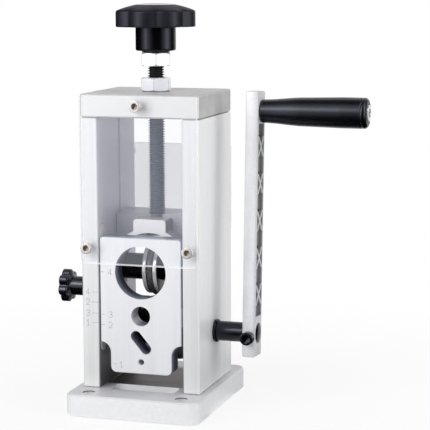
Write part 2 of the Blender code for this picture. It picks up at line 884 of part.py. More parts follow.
def cut_pockets(arm, name, outlines, depth, crank):
    """Sink straight pockets of one depth into the arm's outer face."""
    for number, outline in enumerate(outlines, 1):
        cutter = prism(
            "%s_%d" % (name, number), outline, arm_outer - depth, arm_outer + 1 * mm, "X", None, parent=crank)
        cut(arm, cutter)


def make_crank_arm(crank):
    """Cast arm with a plain inner face and a row of crossed ribs sunk in the outer face."""
    half = arm_width / 2
    arm = box("crank_arm", (arm_inner, -half, -arm_below), (arm_outer, half, arm_above), cast, parent=crank)
    soften(arm, arm_edge, segments=2)
    pocket_half = half - pocket_rim
    pocket_low = shaft_diameter / 2 + 4.4 * mm
    pocket_high = crank_radius - grip_small / 2 - 0.5 * mm
    crosses = []
    webs = []
    low = pocket_low
    for k in range(rib_count):
        middle = rib_first + k * rib_pitch
        crosses += cross_pockets(middle, pocket_half + rib_thickness / 2)
        high = middle - rib_height / 2 + rib_thickness
        webs.append([(-pocket_half, low), (pocket_half, low), (pocket_half, high), (-pocket_half, high)])
        low = middle + rib_height / 2 - rib_thickness
    high = pocket_high
    webs.append([(-pocket_half, low), (pocket_half, low), (pocket_half, high), (-pocket_half, high)])
    cut_pockets(arm, "cross_pocket", crosses, arm_thickness - arm_floor, crank)
    cut_pockets(arm, "web_pocket", webs, web_depth, crank)
    bore = shaft_diameter + 2 * fit
    cut(arm, rod(
        "arm_bore", bore, arm_inner - 1 * mm, arm_outer + 1 * mm, None, steps=24, parent=crank,
        rotation=aim["+X"]))
    screw_x = (arm_inner + arm_outer) / 2
    screw_tip = shaft_diameter / 2 + fit
    length = half - screw_tip + fit
    cut(arm, rod(
        "clamp_screw_bore", clamp_screw_diameter + 2 * fit, 0, half + 1 * mm, None, steps=20, parent=crank,
        location=(screw_x, 0, -clamp_screw_drop), rotation=aim["-Y"]))
    cap_screw(
        "crank_clamp_screw", clamp_screw_diameter, length, clamp_head_diameter, clamp_head_height, black_steel,
        parent=crank, location=(screw_x, -half - fit, -clamp_screw_drop), rotation=aim["-Y"])
    cut(arm, rod(
        "spindle_bore", spindle_thread + 2 * fit, arm_inner - 1 * mm, arm_outer + 1 * mm, None, parent=crank,
        location=(0, 0, crank_radius), rotation=aim["+X"]))


def make_handle(crank):
    """Turning grip on a shoulder screw, drawn about the handle's axis along +X."""
    handle = empty("handle_axis", (0, 0, crank_radius), parent=crank)
    along = aim["+X"]
    near = arm_outer + fit
    far = near + grip_length
    bore = spindle_diameter / 2 + fit
    head_bore = spindle_head / 2 + fit
    seat = far - spindle_head_height - fit
    small = grip_small / 2
    large = grip_large / 2
    groove = 0.4 * mm
    profile = [(bore, near), (small - 1 * mm, near), (small, near + 1 * mm)]
    profile.append((small + 0.15 * mm, near + 4 * mm))
    profile.append((grip_middle / 2 - 0.45 * mm, near + grip_taper * 0.62))
    profile.append((grip_middle / 2, near + grip_taper))
    ring_x = far - grip_ring
    profile += [(large, ring_x - 12 * mm), (large, ring_x - groove), (large - groove, ring_x)]
    profile.append((large, ring_x + groove))
    for height, radius in arc((far - grip_round, large - grip_round), grip_round, pi / 2, 0, 4):
        profile.append((radius, height))
    profile += [(head_bore, far), (head_bore, seat), (bore, seat)]
    turned("handle_grip", profile, black_rubber, bored=True, steps=22, parent=handle, rotation=along)
    thread = spindle_thread / 2
    shoulder = spindle_diameter / 2
    head = spindle_head / 2
    head_low = seat + fit
    head_high = far + spindle_head_proud
    profile = [
        (0, arm_inner + fit),
        (thread, arm_inner + fit),
        (thread, near),
        (shoulder, near),
        (shoulder, head_low),
        (head, head_low),
        (head, head_high - 0.5 * mm),
        (head - 0.5 * mm, head_high),
        (0, head_high),
    ]
    spindle = turned("handle_spindle", profile, steel, steps=16, parent=handle, rotation=along)
    socket = prism(
        "spindle_socket", hexagon(5 * mm), far - 2 * mm, far + 2 * mm, "Z", None, parent=handle, rotation=along)
    cut(spindle, socket)


# Blade carriage and blade wheel

def make_carriage():
    """Yoke drawn about the blade's axis: an arch and two legs, a boss and a guided bar."""
    carriage = empty("carriage_slide", (0, axis_y, blade_height))
    boss = boss_width / 2
    meet = asin(boss / arch_outer)
    corner_z = boss_top - boss_round
    outline = [(arch_inner, leg_bottom), (arch_outer, leg_bottom)]
    outline += arc((0, 0), arch_outer, 0, pi / 2 - meet, 8)
    outline += arc((boss - boss_round, corner_z), boss_round, 0, pi / 2, 4)
    outline += arc((boss_round - boss, corner_z), boss_round, pi / 2, pi, 4)
    outline += arc((0, 0), arch_outer, pi / 2 + meet, pi, 8)
    outline += [(-arch_outer, leg_bottom), (-arch_inner, leg_bottom)]
    outline += arc((0, 0), arch_inner, pi, 0, 24)
    yoke = prism("blade_carriage", outline, -arch_front, arch_back, "Y", machined, parent=carriage)
    bar_half = inner_half - bar_side_gap
    weld(yoke, box(
        "guided_bar", (-bar_half, -bar_front, bar_bottom), (bar_half, bar_back, carriage_top), None,
        parent=carriage))
    key_reach = bar_half + guide_key_depth
    weld(yoke, box(
        "guide_keys", (-key_reach, guide_groove_offset - guide_key_width / 2, bar_bottom + 1 * mm),
        (key_reach, guide_groove_offset + guide_key_width / 2, carriage_top - 1 * mm), None, parent=carriage))
    above = carriage_top + 1 * mm
    cut(yoke, rod("journal_bore", journal_diameter + 2 * fit, 0, above, None, parent=carriage))
    cut(yoke, rod("ring_seat", ring_diameter + 4 * fit, 0, ring_seat, None, steps=24, parent=carriage))
    cut(yoke, rod(
        "axle_holes", axle_diameter + 2 * fit, -arch_outer - 1 * mm, arch_outer + 1 * mm, None, steps=24,
        parent=carriage, rotation=aim["+X"]))
    cut(yoke, rod(
        "spacer_faces", blade_spacer_diameter + 4 * fit, -spacer_face, spacer_face, None, steps=24,
        parent=carriage, rotation=aim["+X"]))
    smooth(yoke)
    return carriage


def make_blade(carriage):
    along = aim["+X"]
    bore = axle_diameter + 2 * fit
    reach = arch_outer - fit
    rod("blade_axle", axle_diameter, -reach, reach, steel, steps=32, parent=carriage, rotation=along)
    wheel = empty("blade_axis", (0, 0, 0), parent=carriage)
    thick = blade_thickness / 2
    thin = blade_edge / 2
    radius = blade_diameter / 2
    profile = [
        (bore / 2, -thick),
        (radius - blade_bevel, -thick),
        (radius, -thin),
        (radius, thin),
        (radius - blade_bevel, thick),
        (bore / 2, thick),
    ]
    turned("blade_disc", profile, blade_steel, bored=True, steps=36, parent=wheel, rotation=along)
    near = thick + fit
    far = near + side_ring_width
    for side, name in ((-1, "left"), (1, "right")):
        low = min(side * near, side * far)
        high = max(side * near, side * far)
        ring(
            "blade_ring_" + name, side_ring_diameter, bore, low, high, steel, edge=side_ring_edge, steps=30,
            parent=wheel, rotation=along)
        low = min(side * (far + fit), side * (spacer_face - fit))
        high = max(side * (far + fit), side * (spacer_face - fit))
        ring("blade_spacer_" + name, blade_spacer_diameter, bore, low, high, black_steel,
             parent=carriage, rotation=along)


# Adjusting screw and knob

def make_adjuster():
    """Screw, ring, nut and knob, drawn about the screw's axis at the world's heights."""
    adjuster = empty("adjusting_screw_axis", (0, axis_y, 0))
    shoulder = blade_height + carriage_top + fit
    ring_top = blade_height + ring_seat - fit
    ring_bottom = ring_top - ring_thickness
    tip = ring_bottom - fit - journal_end
    top = hub_bottom + screw_in_knob
    thread = screw_diameter / 2
    journal = journal_diameter / 2
    groove = ring_groove_diameter / 2
    profile = [
        (0, tip),
        (journal, tip),
        (journal, ring_bottom - fit),
        (groove, ring_bottom - fit),
        (groove, ring_top + fit),
        (journal, ring_top + fit),
        (journal, shoulder),
        (thread, shoulder),
        (thread, top),
        (0, top),
    ]
    turned("adjusting_screw", profile, dark_steel, steps=20, parent=adjuster)
    ring("screw_retaining_ring", ring_diameter, ring_groove_diameter + 2 * fit, ring_bottom, ring_top, steel,
         parent=adjuster)
    hex_nut("knob_jam_nut", jam_nut_turn, jam_nut_bottom, zinc, parent=adjuster)
    make_star_knob(adjuster, top)
    hex_nut("lock_nut", lock_nut_turn, lock_nut_bottom, zinc, parent=empty("lock_nut_axis", (0, axis_y, 0)))


def make_star_knob(adjuster, screw_top):
    bore = screw_diameter / 2 + fit
    collar = hub_collar_diameter / 2
    hub = hub_diameter / 2
    rim = knob_diameter / 2
    dip = knob_lobe_depth
    collar_top = hub_bottom + hub_collar_height
    cap = cap_diameter / 2 + fit
    cap_depth = cap_thickness
    profile = [
        (0, screw_top + fit),
        (bore, screw_top + fit),
        (bore, hub_bottom),
        (collar, hub_bottom),
        (collar, collar_top),
        (hub - 0.6 * mm, collar_top),
        (hub, collar_top + 0.8 * mm),
        (hub, knob_bottom),
        (rim - 0.8 * mm, knob_bottom, dip),
        (rim, knob_bottom + 0.8 * mm, dip),
        (rim, knob_shoulder - 1.0 * mm, dip),
        (rim - 0.9 * mm, knob_shoulder, dip),
    ]
    edge = rim - 0.9 * mm
    for part in (0.8, 0.58):
        radius = edge * part
        height = knob_shoulder + knob_dome * (1 - part ** 2)
        profile.append((radius, height, dip * part ** 4))
    lip = knob_shoulder + knob_dome * (1 - (cap / edge) ** 2)
    floor = lip - cap_depth
    profile += [(cap, lip), (cap, floor), (0, floor)]
    turned(
        "star_knob", profile, black_plastic, steps=knob_lobes * 6, lobes=knob_lobes, turn=knob_turn,
        parent=adjuster)
    disc = cap_diameter / 2
    rise = knob_dome * (cap / edge) ** 2 * 0.55
    profile = [
        (0, floor + fit),
        (disc, floor + fit),
        (disc, lip),
        (disc * 0.7, lip + rise * 0.5),
        (disc * 0.35, lip + rise * 0.87),
        (0, lip + rise),
    ]
    turned("star_knob_cap", profile, zinc, parent=adjuster)


# Finished meshes

def settle():
    """Keep each piece's final mesh, shade it by its own angles and remove the cutters."""
    graph = bpy.context.evaluated_depsgraph_get()
    pieces = [item for item in bpy.data.objects if item.type == "MESH" and not item.hide_render]
    cutters = [item for item in bpy.data.objects if item.type == "MESH" and item.hide_render]
    meshes = [bpy.data.meshes.new_from_object(piece.evaluated_get(graph)) for piece in pieces]
    for piece, mesh in zip(pieces, meshes):
        piece.modifiers.clear()
        piece.data = mesh
        mesh.name = piece.name
        smooth(piece)
    for cutter in cutters:
        bpy.data.objects.remove(cutter, do_unlink=True)


clear_scene()
aluminium = finish("cast aluminium", (0.80, 0.80, 0.81), 0.45, 0.6)
brushed = finish("brushed aluminium", (0.78, 0.79, 0.80), 0.38, 0.8)
machined = finish("machined aluminium", (0.76, 0.76, 0.78), 0.35, 0.8)
cast = finish("die-cast arm", (0.78, 0.78, 0.79), 0.5, 0.6)
steel = finish("bright steel", (0.75, 0.74, 0.72), 0.25, 1.0)
zinc = finish("zinc plated steel", (0.82, 0.84, 0.86), 0.25, 1.0)
dark_steel = finish("threaded steel", (0.18, 0.18, 0.19), 0.4, 1.0)
black_steel = finish("black oxide steel", (0.03, 0.03, 0.035), 0.35, 0.6)
blade_steel = finish("blade steel", (0.32, 0.32, 0.34), 0.2, 1.0)
bronze = finish("sintered bronze", (0.45, 0.30, 0.16), 0.5, 1.0)
black_plastic = finish("black plastic", (0.02, 0.02, 0.023), 0.42, 0.0)
black_rubber = finish("black grip", (0.018, 0.018, 0.021), 0.35, 0.0)
nylon = finish("white nylon", (0.80, 0.79, 0.76), 0.5, 0.0)
clear = finish("clear acrylic", (0.85, 0.88, 0.90), 0.05, 0.0)

base_plate = make_base()
make_sides()
make_top_block()
make_covers()
make_housing_fasteners(base_plate)
make_feed_plate()
make_clamp()
make_bushes()
crank_axis = empty("crank_axis", (0, axis_y, shaft_height), (-crank_tilt, 0, 0))
make_drive(crank_axis)
make_shaft_ring(crank_axis)
make_crank_arm(crank_axis)
make_handle(crank_axis)
carriage_axis = make_carriage()
make_blade(carriage_axis)
make_adjuster()
settle()
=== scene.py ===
"""Looks, studio and camera for the hand-cranked wire stripping machine.

Units are metres, +Z is up and the origin is the middle of the base's underside.
The operator stands at -Y and the crank is on the +X side.
"""

from math import cos, pi, radians, sin, tau

import bpy
from mathutils import Matrix, Vector


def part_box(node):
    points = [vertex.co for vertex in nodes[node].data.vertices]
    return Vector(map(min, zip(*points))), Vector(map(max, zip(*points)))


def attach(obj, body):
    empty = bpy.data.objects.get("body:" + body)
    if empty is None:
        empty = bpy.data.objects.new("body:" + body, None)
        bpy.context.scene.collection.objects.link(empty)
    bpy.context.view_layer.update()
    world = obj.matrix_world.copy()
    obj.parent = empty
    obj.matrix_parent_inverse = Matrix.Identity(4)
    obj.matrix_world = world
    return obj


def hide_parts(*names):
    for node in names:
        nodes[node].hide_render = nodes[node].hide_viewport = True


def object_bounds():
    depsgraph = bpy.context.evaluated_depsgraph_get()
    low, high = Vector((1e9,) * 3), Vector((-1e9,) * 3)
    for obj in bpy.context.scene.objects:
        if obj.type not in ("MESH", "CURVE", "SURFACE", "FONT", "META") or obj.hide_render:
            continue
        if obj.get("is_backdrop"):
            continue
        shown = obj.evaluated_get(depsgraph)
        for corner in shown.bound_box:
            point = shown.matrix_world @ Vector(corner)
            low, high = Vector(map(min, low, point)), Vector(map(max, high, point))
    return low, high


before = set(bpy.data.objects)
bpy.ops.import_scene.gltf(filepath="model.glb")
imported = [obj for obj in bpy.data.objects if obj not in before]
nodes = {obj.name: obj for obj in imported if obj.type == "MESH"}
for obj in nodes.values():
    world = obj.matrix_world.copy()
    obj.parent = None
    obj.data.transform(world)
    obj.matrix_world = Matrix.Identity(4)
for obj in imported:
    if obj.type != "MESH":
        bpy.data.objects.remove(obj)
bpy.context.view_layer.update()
mm = 0.001


# Places on the CAD model that the looks and the finer pieces share

def middle(node):
    """Centre of a CAD node's box."""
    low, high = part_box(node)
    return (low + high) / 2


axis_y = middle("adjusting_screw").y
screw_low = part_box("adjusting_screw")[0].z
screw_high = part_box("adjusting_screw")[1].z
journal_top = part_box("blade_carriage")[1].z + 0.3 * mm
feed_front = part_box("feed_plate")[0].y
shaft_height = 46.4 * mm
blade_height = 83.8 * mm
crank_reach = 134 * mm
crank_tilt = radians(3.35)
shaft_axis = Vector((0, axis_y, shaft_height))
blade_axis = Vector((0, axis_y, blade_height))
handle_axis = shaft_axis + crank_reach * Vector((0, sin(crank_tilt), cos(crank_tilt)))

left, right = (-1, 0, 0), (1, 0, 0)
front, rear = (0, -1, 0), (0, 1, 0)
down, up = (0, 0, -1), (0, 0, 1)


# Colours and materials

def tone(red, green, blue):
    """Linear colour of a display colour from 0 to 255."""
    values = []
    for value in (red, green, blue):
        share = value / 255
        values.append(share / 12.92 if share <= 0.04045 else ((share + 0.055) / 1.055) ** 2.4)
    return (*values, 1.0)


class Finish:
    """A Principled material and the few node shapes that its detail is made from."""

    def __init__(self, name, colour, roughness, metallic=0.0, specular=0.5):
        self.material = bpy.data.materials.new(name)
        self.material.use_nodes = True
        self.tree = self.material.node_tree
        self.shader = self.tree.nodes["Principled BSDF"]
        self.fix("Base Color", colour)
        self.fix("Roughness", roughness)
        self.fix("Metallic", metallic)
        self.fix("Specular IOR Level", specular)
        self.place = self.tree.nodes.new("ShaderNodeTexCoord").outputs["Object"]
        self.bump = None
        self.tint = None

    def fix(self, socket, value):
        """Give a socket of the shader a constant."""
        self.shader.inputs[socket].default_value = value

    def vary(self, socket, source):
        """Let a socket of the shader follow a node."""
        self.link(source, self.shader.inputs[socket])

    def node(self, kind, **inputs):
        made = self.tree.nodes.new(kind)
        for key, value in inputs.items():
            made.inputs[key.replace("_", " ")].default_value = value
        return made

    def link(self, source, target):
        self.tree.links.new(source, target)

    def noise(self, stretch, detail=4.0, roughness=0.55, seed=0.0):
        """Noise whose features are 1 / stretch metres along each axis."""
        mapping = self.node("ShaderNodeMapping", Scale=stretch, Location=(seed, seed * 1.7, seed * 2.3))
        self.link(self.place, mapping.inputs["Vector"])
        noise = self.node("ShaderNodeTexNoise", Scale=1.0, Detail=detail, Roughness=roughness)
        self.link(mapping.outputs["Vector"], noise.inputs["Vector"])
        return noise.outputs["Fac"]

    def range(self, value, low, high, out_low=0.0, out_high=1.0):
        """Value from low to high, as a number from out_low to out_high."""
        change = self.node("ShaderNodeMapRange", From_Min=low, From_Max=high, To_Min=out_low, To_Max=out_high)
        self.link(value, change.inputs["Value"])
        return change.outputs["Result"]

    def vector(self, operation, source, *values):
        """Outputs of a vector calculation, with constants for its further inputs."""
        made = self.tree.nodes.new("ShaderNodeVectorMath")
        made.operation = operation
        self.link(source, made.inputs[0])
        for slot, value in enumerate(values, 1):
            made.inputs[slot].default_value = value
        return made.outputs

    def math(self, operation, first, second):
        made = self.tree.nodes.new("ShaderNodeMath")
        made.operation = operation
        for slot, value in enumerate((first, second)):
            if isinstance(value, (int, float)):
                made.inputs[slot].default_value = value
            else:
                self.link(value, made.inputs[slot])
        return made.outputs[0]

    def mix(self, factor, first, second):
        made = self.tree.nodes.new("ShaderNodeMix")
        made.data_type = "RGBA"
        if isinstance(factor, (int, float)):
            made.inputs["Factor"].default_value = factor
        else:
            self.link(factor, made.inputs["Factor"])
        for key, value in (("A", first), ("B", second)):
            socket = [s for s in made.inputs if s.name == key and s.type == "RGBA"][0]
            if isinstance(value, tuple):
                socket.default_value = value
            else:
                self.link(value, socket)
        return [s for s in made.outputs if s.type == "RGBA"][0]

    def shades(self, value, dark, light, low=0.3, high=0.7):
        """From dark to light as the value goes from low to high."""
        return self.mix(self.range(value, low, high), dark, light)

    def colour(self, source):
        self.tint = source
        self.vary("Base Color", source)

    def blend(self, factor, other):
        """Mix the colour so far with another one."""
        self.colour(self.mix(factor, self.tint, other))

    def relief(self, height, depth):
        """Bump of the given depth in metres."""
        made = self.node("ShaderNodeBump", Strength=1.0, Distance=depth)
        self.link(height, made.inputs["Height"])
        if self.bump is not None:
            self.link(self.bump, made.inputs["Normal"])
        self.bump = made.outputs["Normal"]
        self.vary("Normal", self.bump)

    def facing(self, direction):
        """1 on surfaces that face a direction of the piece, 0 across it."""
        geometry = self.tree.nodes.new("ShaderNodeNewGeometry")
        turn = self.tree.nodes.new("ShaderNodeVectorTransform")
        turn.vector_type = "NORMAL"
        turn.convert_from = "WORLD"
        turn.convert_to = "OBJECT"
        self.link(geometry.outputs["True Normal"], turn.inputs["Vector"])
        return self.range(self.vector("DOT_PRODUCT", turn.outputs["Vector"], direction)["Value"], 0.3, 0.9)

    def along(self, direction, start, stop):
        """0 to 1 as the piece's own coordinate on a direction goes from start to stop, in metres."""
        return self.range(self.vector("DOT_PRODUCT", self.place, direction)["Value"], start, stop)

    def within(self, direction, start, stop, edge):
        """1 from start to stop on a direction, with soft edges just inside them."""
        return self.all_of(
            self.along(direction, start, start + edge), self.along(direction, stop, stop - edge))

    def round_spots(self, across, along, reach):
        """1 within reach of the four places at plus and minus across and along, in plan."""
        folded = self.vector("ABSOLUTE", self.place)["Vector"]
        flat = self.vector("MULTIPLY_ADD", folded, (1, 1, 0), (-across, -along, 0))["Vector"]
        return self.range(self.vector("LENGTH", flat)["Value"], reach, reach * 0.98)

    def all_of(self, *factors):
        """Product of factors from 0 to 1."""
        product = factors[0]
        for factor in factors[1:]:
            product = self.math("MULTIPLY", product, factor)
        return product

    def other(self, factor):
        """What a factor leaves of 1."""
        return self.math("SUBTRACT", 1.0, factor)


def brushed(name, light, dark, metallic, roughness, streak=(1400, 1400, 9), broad=(160, 160, 2.5)):
    """Brushed or extruded aluminium: fine and broad streaks."""
    made = Finish(name, light, roughness, metallic)
    fine = made.noise(streak, detail=5, roughness=0.7)
    wide = made.noise(broad, detail=2, seed=3.1)
    both = made.math("ADD", made.math("MULTIPLY", fine, 0.55), made.math("MULTIPLY", wide, 0.45))
    made.colour(made.shades(both, dark, light, 0.36, 0.64))
    made.vary("Roughness", made.range(fine, 0.3, 0.7, roughness - 0.07, roughness + 0.07))
    made.relief(fine, 0.02 * mm)
    return made


def side_finish(name, inward, outward):
    """Extruded side plate. Its outer face is made paler, painted light. Its inner face is darker, painted
    shade, and darker still further down.
    """
    made = brushed(name, tone(249, 249, 248), tone(236, 236, 237), 0.3, 0.42)
    # Painted light: the outer face is mixed halfway to white.
    made.blend(made.math("MULTIPLY", made.facing(outward), 0.5), tone(255, 255, 255))
    # Painted shade: the inner face is darker, and darker still from 74 mm down to 22 mm.
    inner = made.facing(inward)
    made.blend(inner, tone(220, 216, 226))
    made.blend(made.all_of(inner, made.along(up, 74 * mm, 22 * mm)), tone(96, 94, 98))
    return made


left_plate = side_finish("brushed_left_plate", right, left)
right_plate = side_finish("brushed_right_plate", left, right)


def feed_finish():
    """Brushed feed plate. The walls of its holes carry painted shade that darkens inwards. The medium hole's
    walls that face +X get a painted highlight instead, and the small hole's walls a lighter painted shade.
    """
    made = brushed(
        "brushed_feed_plate", tone(250, 251, 253), tone(241, 242, 245), 0.25, 0.4, streak=(1700, 1700, 14))
    # Painted shade on the hole walls, darker further in.
    walls = made.other(made.math("MAXIMUM", made.facing(front), made.facing(rear)))
    inward_shade = made.along(rear, feed_front + 0.8 * mm, feed_front + 7.5 * mm)
    made.blend(walls, made.mix(inward_shade, tone(176, 182, 198), tone(92, 97, 113)))
    # Painted highlight on the medium hole's walls that face +X.
    medium_hole_highlight = made.within(up, 53 * mm, 66 * mm, 1 * mm)
    made.blend(made.all_of(walls, made.facing(right), medium_hole_highlight), tone(255, 254, 254))
    # Lighter painted shade on the small hole's walls.
    small_hole_shade = made.all_of(
        made.within(up, 24 * mm, 34 * mm, 1 * mm), made.within(right, -4 * mm, 4 * mm, 1 * mm))
    made.blend(made.all_of(walls, small_hole_shade), tone(206, 206, 208))
    return made


def base_finish():
    """Satin base plate with a darker top, painted shade, which is darkest between the side plates. Its
    mounting holes get painted shade below their rims, and its pocket's wall a painted highlight.
    """
    made = Finish("satin_base_plate", tone(240, 240, 242), 0.48, 0.15)
    grain = made.noise((300, 300, 300), detail=6, roughness=0.65)
    lines = made.noise((30, 900, 900), detail=3, seed=5.0)
    made.colour(made.shades(grain, tone(243, 243, 245), tone(251, 251, 252)))
    # Painted shade: the top is darker than the sides.
    top = made.facing(up)
    made.blend(top, made.shades(grain, tone(211, 211, 214), tone(220, 219, 221)))
    # Painted shade between the side plates, darkest towards -X.
    inside = made.all_of(
        top, made.within(right, -27 * mm, 27 * mm, 1 * mm),
        made.along(rear, -17.5 * mm, -16.9 * mm), made.along(rear, 36 * mm, 30 * mm))
    across = made.along(right, -20 * mm, 26 * mm)
    made.blend(inside, made.mix(across, tone(44, 40, 39), tone(150, 144, 140)))
    hole_x, hole_y, hole_reach = 29.2 * mm, 41.7 * mm, 4 * mm
    # Painted shade on the mounting holes' walls, dark just below the rim and pale further down.
    hole_wall_shade = made.all_of(made.other(top), made.round_spots(hole_x, hole_y, hole_reach))
    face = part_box("base_plate")[1].z
    made.blend(hole_wall_shade, made.mix(
        made.along(up, face - 0.9 * mm, face - 0.5 * mm), tone(238, 237, 238), tone(104, 100, 100)))
    made.vary("Roughness", made.range(lines, 0.3, 0.7, 0.42, 0.56))
    # Painted highlight: the pocket's wall is white and not metallic.
    pocket_wall_highlight = made.all_of(made.facing(front), made.within(rear, -20 * mm, -14 * mm, 1 * mm))
    made.vary("Metallic", made.range(pocket_wall_highlight, 0.0, 1.0, 0.15, 0.0))
    made.blend(pocket_wall_highlight, tone(254, 254, 255))
    made.relief(grain, 0.02 * mm)
    return made


def block_finish():
    """Milled top block: milling lines on its front, and painted shade that makes its sides and top darker and
    cloudy.
    """
    made = Finish("milled_top_block", tone(225, 225, 227), 0.4, 0.4)
    milled = made.noise((1500, 60, 1500), detail=4, roughness=0.65)
    cloud = made.noise((70, 70, 70), detail=3, seed=8.0)
    # The front is the lit copy. The sides and top are a darker copy, painted shade.
    lit_front = made.shades(milled, tone(230, 229, 229), tone(242, 241, 240))
    shaded_sides = made.shades(cloud, tone(188, 186, 186), tone(206, 204, 204), 0.35, 0.65)
    made.colour(made.mix(made.facing(front), shaded_sides, lit_front))
    made.vary("Roughness", made.range(milled, 0.3, 0.7, 0.36, 0.5))
    made.relief(milled, 0.02 * mm)
    return made


def carriage_finish():
    """Machined carriage. Only the front of its yoke is bright. The rest is darker, painted shade, and its
    faces towards +X are darker still, a painted shadow.
    """
    made = brushed(
        "machined_carriage", tone(255, 254, 255), tone(248, 247, 249), 0.05, 0.36, streak=(60, 1500, 1500),
        broad=(6, 200, 200))
    lit_yoke_front = made.all_of(made.facing(front), made.along(rear, axis_y - 6 * mm, axis_y - 12 * mm))
    # Painted shade on all but the yoke's front, and a painted shadow on the faces towards +X.
    made.blend(made.other(lit_yoke_front), tone(188, 187, 195))
    made.blend(made.facing(right), tone(104, 104, 115))
    return made


def arm_finish():
    """Cast crank arm. Its pockets carry painted shade, darker between the ribs than on the webs."""
    made = Finish("cast_arm", tone(236, 236, 238), 0.5, 0.3)
    grain = made.noise((1300, 1300, 1300), detail=4, roughness=0.7)
    cloud = made.noise((120, 120, 60), detail=2, seed=4.0)
    both = made.math("ADD", made.math("MULTIPLY", grain, 0.6), made.math("MULTIPLY", cloud, 0.4))
    made.colour(made.shades(both, tone(226, 226, 229), tone(241, 241, 243), 0.35, 0.65))
    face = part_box("crank_arm")[1].x
    across = Vector((0, cos(crank_tilt), -sin(crank_tilt)))
    centre = shaft_axis.dot(across)
    half = 6.6 * mm
    # Painted shade in the pockets, darkest deeper in.
    sunk = made.all_of(
        made.along(right, face - 0.3 * mm, face - 0.9 * mm),
        made.along(right, face - 7.2 * mm, face - 6.8 * mm),
        made.within(across, centre - half, centre + half, 0.3 * mm))
    deep_shade = made.along(right, face - 1.8 * mm, face - 3.0 * mm)
    made.blend(sunk, made.mix(deep_shade, tone(152, 152, 156), tone(44, 44, 48)))
    made.vary("Metallic", made.range(sunk, 0.0, 1.0, 0.3, 0.0))
    made.relief(grain, 0.04 * mm)
    return made


def polished(name, colour, shade, roughness, metallic=1.0, scale=900, depth=0.004 * mm, spread=0.2):
    """Turned or plated metal with faint mottling. The spread is that of its roughness."""
    made = Finish(name, colour, roughness, metallic)
    fine = made.noise((scale, scale, scale), detail=5, roughness=0.6)
    made.colour(made.shades(fine, shade, colour, 0.35, 0.65))
    made.vary("Roughness", made.range(
        fine, 0.3, 0.7, roughness * (1 - spread), roughness * (1 + spread * 1.5)))
    made.relief(fine, depth)
    return made


steel = polished("bright_steel", tone(238, 235, 231), tone(218, 214, 209), 0.18, metallic=0.55)
# Painted reflection and shade: the sockets' insides are warm brown and darker than the heads.
socket_reflection_steel = polished("socket_reflection_steel", tone(188, 170, 154), tone(156, 138, 122), 0.34, metallic=0.35)
zinc = polished(
    "zinc_plate", tone(249, 252, 255), tone(244, 248, 253), 0.3, metallic=0.25, scale=300, depth=0.0005 * mm,
    spread=0.03)
knob_cap = polished("knob_cap", tone(236, 235, 238), tone(226, 225, 229), 0.35, metallic=0.2)
knob_badge = polished("knob_badge", tone(92, 92, 98), tone(80, 80, 86), 0.4, metallic=0.3)
shaft_end = polished("dull_black_end", tone(20, 20, 22), tone(12, 12, 14), 0.8, metallic=0.0)
shaft_end.fix("Specular IOR Level", 0.05)
black_steel = polished("black_oxide_steel", tone(12, 13, 16), tone(6, 6, 8), 0.22, metallic=0.0, scale=1400)
journal_steel = polished("journal_steel", tone(132, 132, 139), tone(118, 118, 125), 0.4, metallic=0.3)
thread_steel = polished("threaded_steel", tone(44, 42, 42), tone(28, 26, 26), 0.45, metallic=0.2, scale=1100)
thread_steel.fix("Specular IOR Level", 0.2)
# Painted sheen: below 174 mm the thread is lighter and bluish.
thread_steel.blend(thread_steel.along(up, 180 * mm, 174 * mm), tone(98, 101, 118))
blade_steel = polished("blade_steel", tone(146, 138, 135), tone(104, 97, 95), 0.24, metallic=0.6, scale=1500)
ring_steel = polished("ring_steel", tone(250, 250, 252), tone(238, 238, 241), 0.22, metallic=0.4)
# Painted shade: the rings' flat side faces are nearly black.
ring_steel.blend(
    ring_steel.math("MAXIMUM", ring_steel.facing(right), ring_steel.facing(left)), tone(22, 20, 20))
bronze = polished(
    "sintered_bronze", tone(172, 132, 88), tone(140, 104, 66), 0.5, scale=2200, depth=0.02 * mm)


def moulded(name, colour, shade, roughness, specular, scale=1600, depth=0.03 * mm):
    """Moulded plastic with a fine skin texture."""
    made = Finish(name, colour, roughness, 0.0, specular)
    skin = made.noise((scale, scale, scale), detail=4, roughness=0.6)
    patch = made.noise((130, 130, 130), detail=2, seed=6.0)
    made.colour(made.shades(patch, shade, colour, 0.35, 0.65))
    made.vary("Roughness", made.range(skin, 0.3, 0.7, roughness - 0.05, roughness + 0.06))
    made.relief(skin, depth)
    return made


knob_plastic = moulded("knob_plastic", tone(32, 31, 39), tone(24, 23, 31), 0.4, 0.4, depth=0.01 * mm)
hub_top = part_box("star_knob")[0].z + 15 * mm
# Painted shade: the hub under the lobed head is nearly black.
knob_hub_shade = knob_plastic.along(up, hub_top + 0.4 * mm, hub_top - 0.4 * mm)
knob_plastic.blend(knob_hub_shade, tone(3, 3, 4))
knob_plastic.vary("Roughness", knob_plastic.range(knob_hub_shade, 0.0, 1.0, 0.42, 0.3))
knob_dome = moulded("knob_dome_plastic", tone(32, 31, 39), tone(24, 23, 31), 0.42, 0.07, depth=0.01 * mm)
clamp_plastic = moulded("clamp_knob_plastic", tone(14, 14, 17), tone(8, 8, 10), 0.18, 0.8, depth=0.01 * mm)
grip_plastic = moulded("grip_plastic", tone(5, 6, 11), tone(2, 2, 6), 0.33, 0.65, depth=0.004 * mm)
for black in (knob_plastic, knob_dome, clamp_plastic, grip_plastic, black_steel):
    black.fix("Specular Tint", (0.8, 0.83, 1.0, 1.0))
nylon = moulded("white_nylon", tone(226, 224, 218), tone(212, 210, 203), 0.45, 0.4, scale=900)
ink = moulded("scale_marks", tone(194, 195, 200), tone(181, 182, 187), 0.6, 0.2, scale=3000)


